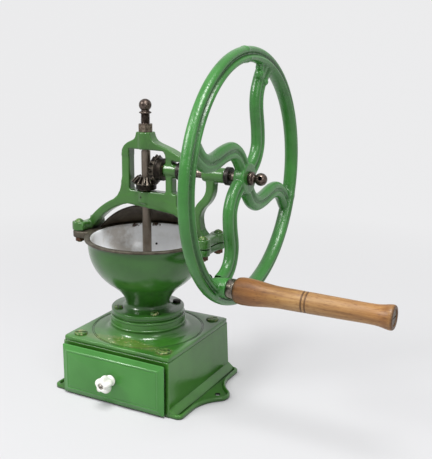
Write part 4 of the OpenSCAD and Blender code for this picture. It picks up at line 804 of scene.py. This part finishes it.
GEAR_R = 16.5
GEAR_BORE = 5.53
TEETH = 14
SMALL_END = (GEAR_R * sqrt(2) - 9.5) / (GEAR_R * sqrt(2))
# Half a tooth, as height over the pitch line and half its width there.
HALF_TOOTH = [(-3.2, 2.30), (-2.2, 1.95), (-0.8, 1.52), (0.4, 1.12), (1.3, 0.80), (1.7, 0.42)]
TOOTH = HALF_TOOTH + [(level, -w) for level, w in reversed(HALF_TOOTH)]


def gear_shells(hub_r, hub_l, phase, put):
    """A 45 degree bevel gear, large end at zero, cone tip at GEAR_R; put sets it in the mill."""
    def cone(level, side, scale):
        x, z = GEAR_R + level / sqrt(2), level / sqrt(2)
        return x * scale, side * scale, GEAR_R + (z - GEAR_R) * scale

    (wide, _, wide_z), (slim, _, slim_z) = [cone(-2.8, 0, s) for s in (1.02, SMALL_END - 0.02)]
    blank = [(GEAR_BORE, -hub_l), (hub_r - 0.7, -hub_l), (hub_r, -hub_l + 0.7),
             (hub_r, wide_z - 2.2), (hub_r + 0.3, wide_z - 1.4), (wide - 0.5, wide_z - 0.2),
             (wide, wide_z + 0.1), (slim, slim_z), (slim - 1.2, slim_z + 0.2),
             (GEAR_BORE, slim_z)]
    shells = [loft([[put(*p) for p in loop] for loop in turned_z(blank, 84)], ring=True)]
    for k in range(TEETH):
        a = 2 * pi * (k + phase) / TEETH
        rows = []
        for scale, shy in ((1.0, 0.75), (0.985, 1.0), (SMALL_END + 0.02, 1.0), (SMALL_END, 0.75)):
            row = []
            for level, w in TOOTH:
                height = level if level < 0 else level * (0.6 + 0.4 * shy)
                x, y, z = cone(height, w * (0.7 + 0.3 * shy), scale)
                row.append(put(x * cos(a) - y * sin(a), x * sin(a) + y * cos(a), z))
            rows.append(row)
        shells.append(loft(rows))
    return shells


pinion_shells = gear_shells(hub_r=12.4, hub_l=9.35, phase=0.5,
                            put=lambda x, y, z: (x, y, z + SHAFT_Z - GEAR_R))
wheel_shells = gear_shells(hub_r=13.4, hub_l=10.2, phase=0.0,
                           put=lambda x, y, z: (GEAR_R - z, y, SHAFT_Z + x))
pinion = piece("bevel_pinion", "grinding_spindle", pinion_shells, [gear_iron])
wheel = piece("bevel_wheel_gear", "drive", wheel_shells, [gear_iron])
for gear, node in ((pinion, "pinion"), (wheel, "bevel_wheel")):
    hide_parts(node)


# Adjusting screw: a turned steel screw on top that presses the spindle down and sets the grind.
# Its neck is threaded, its ball has a cross hole for a pin, and a hexagon lock nut holds it.
# Browned steel: dark brown with a metal shine. The nut is paler, worn by the spanner.
browned_steel = bare_metal("browned_turned_steel", "#70645c", "#352c27",
                           mottle_mm=3, metallic=0.9, roughness=0.34)
worn_nut = bare_metal("worn_steel_nut", "#867a6c", "#4a4037",
                      mottle_mm=2.5, metallic=0.8, roughness=0.42)
THREAD_Z = 329.9
THREAD_PITCH = 1.25
RIDGES = 8
BALL_Z = 351.0
PIN_TURN = radians(27)
PIN_R = 1.9
PIN_REACH = 12
neck = [(4.9, 312.0), (4.9, 329.6)]
for ridge in range(RIDGES):
    z = THREAD_Z + ridge * THREAD_PITCH
    neck += [(4.7, z), (5.5, z + 0.45), (5.5, z + 0.75), (4.7, z + 1.2)]
neck += [(4.9, 340.2), (6.2, 341.2), (7.3, 341.7), (7.4, 342.4), (6.9, 343.0), (5.6, 343.6),
         (4.9, 344.3), (4.8, 345.0)]
ball = [(7.5 * sin(radians(a)), BALL_Z - 7.3 * cos(radians(a))) for a in range(42, 180, 8)]
screw = piece("adjusting_screw_ball", "adjuster_screw",
              [loft(turned_z(neck + ball + [(0.15, 358.3)], 48))], [browned_steel], crease=50)
x, y = PIN_REACH * cos(PIN_TURN), PIN_REACH * sin(PIN_TURN)
drill(screw, (-x, -y, BALL_Z), (x, y, BALL_Z), PIN_R, hole_oil_and_shade)
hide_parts("adjusting_screw")
finish_node(worn_nut, "lock_nut", "handle_end_nut")


# Flywheel: one casting of a rim with a groove on each face, four S-shaped spokes with a groove
# down the middle, a hub keyed to the shaft and a boss for the handle. Two gate marks and three
# lumps are left from the mould.
# Thick gloss paint over rough iron: bright, broken highlights, like orange peel.
wheel_paint = gloss_paint("thick_gloss_paint_on_wheel", "#387d32", "#307229", "#26621f",
                          pit_mm=2.6, pit_depth=0.75, shade_and_dirt_mm=9, coat=0.25, gloss=(0.22, 0.36))
WHEEL_X = 133.0
WHEEL_R = 136.0
SPOKE_X = 131.0
HANDLE_R = 128.5
HANDLE_TURN = radians(213.3)
HANDLE = (HANDLE_R * sin(HANDLE_TURN), SHAFT_Z + HANDLE_R * cos(HANDLE_TURN))
RIM_HALF = [(8.7, 0.0), (8.4, 2.4), (7.6, 4.2), (6.4, 5.5), (4.9, 6.1), (3.4, 5.9), (2.2, 5.0),
            (1.4, 3.8), (0.7, 3.1), (0.0, 3.4), (-0.6, 4.8), (-1.2, 6.8), (-2.2, 8.0),
            (-3.6, 8.4), (-5.2, 7.8), (-6.8, 6.2), (-8.1, 3.6)]
RIM = RIM_HALF + [(-8.7, 0.0)] + [(r, -x) for r, x in reversed(RIM_HALF[1:])]
# Each gate mark has its angle, its swell and its width in degrees.
GATES = ((93.8, 0.1, 1.2), (341.4, 0.07, 1.1))
# Each lump has its centre, counted from the shaft's axis, and its radius.
LUMPS = ((134.5, 27.0, 114.0, 5.6), (135.5, 39.5, 104.5, 4.4), (133.5, 30.0, 121.0, 5.0))
SPOKE_TOP = [(10.0, 0.0), (9.5, 2.7), (8.1, 4.9), (6.0, 6.1), (3.8, 6.4), (2.4, 6.0), (1.5, 4.6),
             (0.0, 3.9)]
SPOKE = SPOKE_TOP + [(-w, x) for w, x in reversed(SPOKE_TOP[:-1])]
SPOKE += [(-w, -x) for w, x in SPOKE_TOP[1:]] + [(w, -x) for w, x in reversed(SPOKE_TOP[1:-1])]
SPOKE_LINE = [(2.0, 2.0), (14.9, 7.4), (26.5, 17.0), (33.0, 28.0), (34.8, 38.0), (33.2, 54.0),
              (29.6, 70.0), (28.2, 82.0), (29.6, 93.0), (34.2, 103.0), (41.0, 112.0),
              (52.0, 122.7), (62.0, 131.5)]
HANDLE_SPOKE = SPOKE_LINE[:7] + [(30.0, 82.0), (35.0, 94.0), (45.5, 103.5), (60.0, 109.5),
                                 (74.0, 115.0)]
HUB = [(124.3, 15.0), (125.6, 16.6), (128.0, 17.6), (131.0, 18.0), (136.6, 18.0), (138.1, 16.6)]
BOSS = [(123.8, 6.6), (125.0, 7.4), (129.0, 8.6), (134.0, 10.2), (143.8, 10.9), (148.6, 10.8),
        (149.0, 10.2)]


def rim_loop(place):
    """The rim's section at one angle in degrees, swollen where a gate mark is."""
    swell = 1 + sum(rise * exp(-((place - at) / width) ** 2) for at, rise, width in GATES)
    c, s = cos(radians(place)), sin(radians(place))
    return [(WHEEL_X + x * swell, (WHEEL_R + r * swell) * c, SHAFT_Z + (WHEEL_R + r * swell) * s)
            for r, x in RIM]


def spoke_skin(turn, course):
    """A spoke along a smooth curve through its course, wider where it meets the rim."""
    knots = [Vector(k) for k in course]
    loops = []
    for k in range(1, len(knots) - 2):
        a, b, c, d = knots[k - 1:k + 3]
        square, cube = 2 * a - 5 * b + 4 * c - d, 3 * b - a - 3 * c + d
        for t in (step / 6 for step in range(6)):
            at = 0.5 * (2 * b + (c - a) * t + square * t ** 2 + cube * t ** 3)
            to = 0.5 * ((c - a) + 2 * square * t + 3 * cube * t ** 2)
            out = Vector((to.y, -to.x)).normalized()
            flare = 1 + 0.3 * max(at.length - 108, 0) / 24
            row = []
            for w, x in SPOKE:
                u, v = at + w * flare * out
                row.append((SPOKE_X + x, u * cos(turn) - v * sin(turn),
                            SHAFT_Z + u * sin(turn) + v * cos(turn)))
            loops.append(row)
    return loft(loops)


wheel_shapes = [loft([rim_loop(place) for place in range(360)], ring=True),
                loft(turned_x(HUB, 64, 0.0, SHAFT_Z)), loft(turned_x(BOSS, 64, *HANDLE))]
wheel_shapes += [spoke_skin(k * pi / 2, HANDLE_SPOKE if k == 2 else SPOKE_LINE) for k in range(4)]
for x, y, z, r in LUMPS:
    bulge = [(x - r * cos(radians(a)), r * sin(radians(a))) for a in range(15, 166, 15)]
    wheel_shapes.append(loft(turned_x(bulge, 64, y, SHAFT_Z + z)))
flywheel = piece("flywheel_casting", "drive", wheel_shapes, [wheel_paint])
as_cast(flywheel, voxel=0.9, passes=3)
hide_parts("flywheel")


# Wheel screw: a turned steel screw in the shaft's end that holds the wheel on. Like the screw on
# top it ends in a ball with a hole for a pin.
STUD = [(137.7, 3.2), (137.7, 7.3), (138.4, 7.8), (141.4, 7.8), (142.1, 7.3), (142.4, 6.2),
        (143.2, 5.0), (144.3, 4.5), (145.4, 4.5)]
STUD_BALL = (151.6, 7.2)
STUD_HOLE = 2.4
HOLE_AZIMUTH, HOLE_RISE = radians(13), radians(20)
ball = [(STUD_BALL[0] - STUD_BALL[1] * cos(radians(a)), STUD_BALL[1] * sin(radians(a)))
        for a in range(42, 180, 8)]
wheel_screw = piece("flywheel_screw_ball", "drive",
                    [loft(turned_x(STUD + ball + [(158.75, 0.15)], 48, 0.0, SHAFT_Z))],
                    [browned_steel], crease=50)
middle = Vector((STUD_BALL[0], 0, SHAFT_Z))
aim = PIN_REACH * Vector((sin(HOLE_AZIMUTH) * cos(HOLE_RISE), -cos(HOLE_AZIMUTH) * cos(HOLE_RISE),
                          sin(HOLE_RISE)))
drill(wheel_screw, middle + aim, middle - 0.4 * aim, STUD_HOLE, hole_oil_and_shade)
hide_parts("wheel_screw")


# Handle nut: a blackened hexagon nut with a round flange, turned and milled in one. It holds the
# handle's rod from behind the rim.
NUT_FLANGE = [(123.5, 4.1), (123.5, 11.6), (122.6, 12.0), (121.6, 11.8), (121.2, 10.6)]
NUT_HEXAGON = [(121.2, 8.0), (118.2, 8.0), (117.8, 7.4)]
nut_loops = turned_x(NUT_FLANGE, 32, *HANDLE)
for x, flat in NUT_HEXAGON:
    loop = []
    for t in angles(32):
        r = flat / max(cos((t + pi / 6) % (pi / 3) - pi / 6), 0.5)
        loop.append((x, HANDLE[0] + r * cos(t), HANDLE[1] + r * sin(t)))
    nut_loops.append(loop)
nut_loops += turned_x([(117.8, 4.1)], 32, *HANDLE)
back_nut = piece("handle_flange_nut", "drive", [loft(nut_loops, ring=True)], [blackened],
                 crease=40)
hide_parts("handle_nut")


# Ferrule: a cup turned from steel, clamped on the handle's rod between the wheel's boss and the
# grip, which runs against it.
# Polished steel, worn: clear highlights over brown clouds.
ferrule_steel = bare_metal("polished_worn_steel_ferrule", "#8f887d", "#544d45",
                           mottle_mm=5, metallic=1.0, roughness=0.28)
CUP = [(149.1, 4.1), (149.1, 9.8), (149.6, 10.7), (150.8, 11.2), (153.0, 11.4), (156.2, 11.4),
       (157.4, 11.2), (157.8, 10.6), (157.8, 4.1)]
ferrule = piece("handle_ferrule_cup", "drive", [loft(turned_x(CUP, 64, *HANDLE), ring=True)],
                [ferrule_steel], crease=45)
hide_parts("handle_ferrule")


# Grip: turned from fruitwood and oiled, it spins on the steel rod. It swells to a bulb at the
# ferrule, flares at its end, and has two fine grooves round its middle.
# Oiled wood: brown streaks and dark pores along the grain. It is darker at both ends, partly from
# hands and partly painted shade at the gap by the ferrule and in the end's recess, and its two
# grooves are painted dark. The pores are drawn some five times as coarse as they are, so that they
# show.
GRIP_X = (159.4, 328.4)
wood, tree, shader, place = new_finish("oiled_fruitwood_grip", {"IOR": 1.5})
along = add(tree, "ShaderNodeMapping",
            {"Vector": place, "Scale": (1 / (55 * MM), 1 / (3.2 * MM), 1 / (3.2 * MM))})
grain = add(tree, "ShaderNodeTexNoise", {"Vector": along, "Scale": 1.0, "Detail": 5.0,
                                         "Roughness": 0.6})
tone = add(tree, "ShaderNodeValToRGB", {"Fac": grain},
           [(0.3, "#7f5c34"), (0.5, "#a07a4a"), (0.72, "#b69462")])
length = add(tree, "ShaderNodeSeparateXYZ", {"Vector": place}).outputs["X"]
share = add(tree, "ShaderNodeMapRange",
            {"Value": length, "From Min": GRIP_X[0] * MM, "From Max": GRIP_X[1] * MM})
# Darker at both ends, partly hand wear and partly painted shade; the two grooves are painted dark.
hand_wear_and_shade = add(tree, "ShaderNodeValToRGB", {"Fac": share},
              [(0.0, "#6d5238"), (0.02, "#b3926c"), (0.12, "#cca87c"), (0.3, "#f2e8d2"),
               (0.440, "#ffffff"), (0.443, "#4a3426"), (0.450, "#4a3426"), (0.453, "#ffffff"),
               (0.464, "#ffffff"), (0.467, "#4a3426"), (0.474, "#4a3426"), (0.477, "#ffffff"),
               (0.92, "#f0dcc4"), (0.955, "#cdb08e"), (0.985, "#e2d2ba"), (1.0, "#5a4634")])
blotch = add(tree, "ShaderNodeTexNoise", {"Vector": place, "Scale": 1 / (22 * MM), "Detail": 4.0})
aged = add(tree, "ShaderNodeMix", {"Factor": 0.9, "A": tone, "B": hand_wear_and_shade},
           data_type="RGBA", blend_type="MULTIPLY")
patch = add(tree, "ShaderNodeMapRange",
            {"Value": blotch, "From Min": 0.35, "From Max": 0.65, "To Max": 0.35})
stained = add(tree, "ShaderNodeMix", {"Factor": patch, "A": aged, "B": linear("#805a34")},
              data_type="RGBA")
fine = add(tree, "ShaderNodeMapping",
           {"Vector": place, "Scale": (1 / (6 * MM), 1 / (1.1 * MM), 1 / (1.1 * MM))})
fleck = add(tree, "ShaderNodeTexNoise", {"Vector": fine, "Scale": 1.0, "Detail": 3.0})
pitted = add(tree, "ShaderNodeValToRGB", {"Fac": fleck}, [(0.3, "#a8886a"), (0.46, "#ffffff")])
flecked = add(tree, "ShaderNodeMix", {"Factor": 0.6, "A": stained, "B": pitted},
              data_type="RGBA", blend_type="MULTIPLY")
pores = add(tree, "ShaderNodeBump", {"Height": fleck, "Distance": 0.25 * MM, "Strength": 0.4})
sheen = add(tree, "ShaderNodeMapRange", {"Value": blotch, "To Min": 0.34, "To Max": 0.52})
join(tree, shader, {"Base Color": flecked, "Roughness": sheen, "Normal": pores})
GRIP = [(158.2, 4.1), (158.2, 11.6), (158.5, 12.5), (159.8, 13.6), (161.6, 14.2), (164.6, 14.65),
        (168.0, 14.8), (174.7, 14.6), (181.5, 14.0), (188.2, 13.2), (195.0, 12.4), (201.7, 11.75),
        (210.2, 11.4), (222.0, 11.35), (233.6, 11.26), (234.0, 11.2), (234.3, 10.7), (234.9, 10.5),
        (235.5, 10.7), (235.8, 11.2), (238.0, 11.2), (238.3, 10.7), (238.9, 10.5), (239.5, 10.7),
        (239.8, 11.2), (250.0, 11.1), (260.8, 10.9), (277.7, 10.7), (294.6, 10.4), (302.0, 10.35),
        (308.5, 10.5), (313.5, 10.85), (317.5, 11.5), (320.8, 12.2), (323.4, 12.65), (325.6, 12.8),
        (327.2, 12.55), (328.0, 12.0), (328.4, 11.4), (328.4, 8.8), (328.0, 8.45), (323.5, 8.4),
        (323.5, 4.1)]
handle = piece("handle_grip_wood", "grip", [loft(turned_x(GRIP, 64, *HANDLE), ring=True)], [wood],
               crease=45)
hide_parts("handle_grip")


# Studio: a plain pale sheet that runs from the table up behind the mill, with large soft lamps
# to the left and right of the camera and one overhead. Seen directly or in a reflection, the
# sheet is evenly pale, and near the mill it keeps the shadow.
backdrop, tree, shader, place = new_finish(
    "pale_paper_backdrop", {"Roughness": 0.9, "Base Color": linear("#c9c9cb")})
even = add(tree, "ShaderNodeEmission", {"Color": linear("#ededee"), "Strength": 1.0})
ray = add(tree, "ShaderNodeLightPath").outputs
either = add(tree, "ShaderNodeMath", {0: ray["Is Camera Ray"], 1: ray["Is Glossy Ray"]},
             operation="MAXIMUM")
away = add(tree, "ShaderNodeVectorMath", {0: place}, operation="LENGTH")
fade = add(tree, "ShaderNodeMapRange", {"Value": away, "From Min": 0.25, "From Max": 1.0,
                                        "To Min": 0.52, "To Max": 0.97})
contact = add(tree, "ShaderNodeAmbientOcclusion", {"Distance": 10 * MM}, samples=4)
open_air = add(tree, "ShaderNodeMapRange",
               {"Value": contact.outputs["AO"], "From Min": 0.5, "From Max": 0.95})
lit = add(tree, "ShaderNodeMath", {0: fade, 1: open_air}, operation="MULTIPLY")
share = add(tree, "ShaderNodeMath", {0: either, 1: lit}, operation="MULTIPLY")
sheet = add(tree, "ShaderNodeMixShader", {0: share, 1: shader, 2: even})
join(tree, tree.nodes["Material Output"], {"Surface": sheet})
# The sheet's line runs back and up, in metres.
sheet_line = [(-2.6, 0.0)] + arc(1.5, 0.9, 0.9, -90, 0, 15) + [(2.4, 3.2)]
paper = bpy.data.meshes.new("paper_backdrop")
paper.from_pydata([(x, y, z) for y, z in sheet_line for x in (-4.0, 4.0)], [],
                  [(2 * i, 2 * i + 1, 2 * i + 3, 2 * i + 2) for i in range(len(sheet_line) - 1)])
paper.materials.append(backdrop)
paper.shade_smooth()
floor = bpy.data.objects.new("paper_backdrop", paper)
floor.location.z = -0.3 * MM
bpy.context.scene.collection.objects.link(floor)

LAMPS = (("lamp_left", (-1.2, -1.4, 1.6), 0.6, 28), ("lamp_right", (1.7, -1.1, 1.2), 0.7, 8),
         ("lamp_top", (0.4, -0.6, 2.0), 0.7, 36))
LAMP_AIM = Vector((0.03, 0.0, 0.2))
for name, spot, size, power in LAMPS:
    lamp = bpy.data.lights.new(name, "AREA")
    lamp.size = size
    lamp.energy = power
    holder = bpy.data.objects.new(name, lamp)
    holder.location = spot
    holder.rotation_euler = (LAMP_AIM - Vector(spot)).to_track_quat("-Z", "Y").to_euler()
    bpy.context.scene.collection.objects.link(holder)

world = bpy.data.worlds.new("studio_air")
bpy.context.scene.world = world
world.use_nodes = True
tree = world.node_tree
ray = add(tree, "ShaderNodeLightPath").outputs
shown = add(tree, "ShaderNodeMapRange",
            {"Value": ray["Is Camera Ray"], "To Min": 0.42, "To Max": 0.97})
glow = add(tree, "ShaderNodeMath", {0: ray["Is Glossy Ray"], 1: 0.38, 2: shown},
           operation="MULTIPLY_ADD")
join(tree, tree.nodes["Background"], {"Color": linear("#eeeef0"), "Strength": glow})
bpy.context.scene.view_settings.view_transform = "Standard"


# Camera: at the photograph's height and angle, for a frame of 432 by 459. Its place comes from
# the mill's corners and circles, and it has no shift.
AZIMUTH, PITCH, ROLL = radians(27.63), radians(14.39), radians(0.51)
EYE = Vector((494.35, -761.58, 432.10)) * MM
FRAME_H = 459
FOCUS = 760
SENSOR = 24.0
back = Vector((sin(AZIMUTH) * cos(PITCH), -cos(AZIMUTH) * cos(PITCH), sin(PITCH)))
level = (-back).cross(Vector((0, 0, 1))).normalized()
upward = level.cross(-back)
right_hand = cos(ROLL) * level + sin(ROLL) * upward
overhead = -sin(ROLL) * level + cos(ROLL) * upward
camera = bpy.data.cameras.new("camera")
camera.sensor_fit = "VERTICAL"
camera.sensor_height = SENSOR
camera.lens = FOCUS / FRAME_H * SENSOR
viewer = bpy.data.objects.new("camera", camera)
turned = Matrix((right_hand, overhead, back)).transposed().to_4x4()
viewer.matrix_world = Matrix.Translation(EYE) @ turned
bpy.context.scene.collection.objects.link(viewer)
bpy.context.scene.camera = viewer
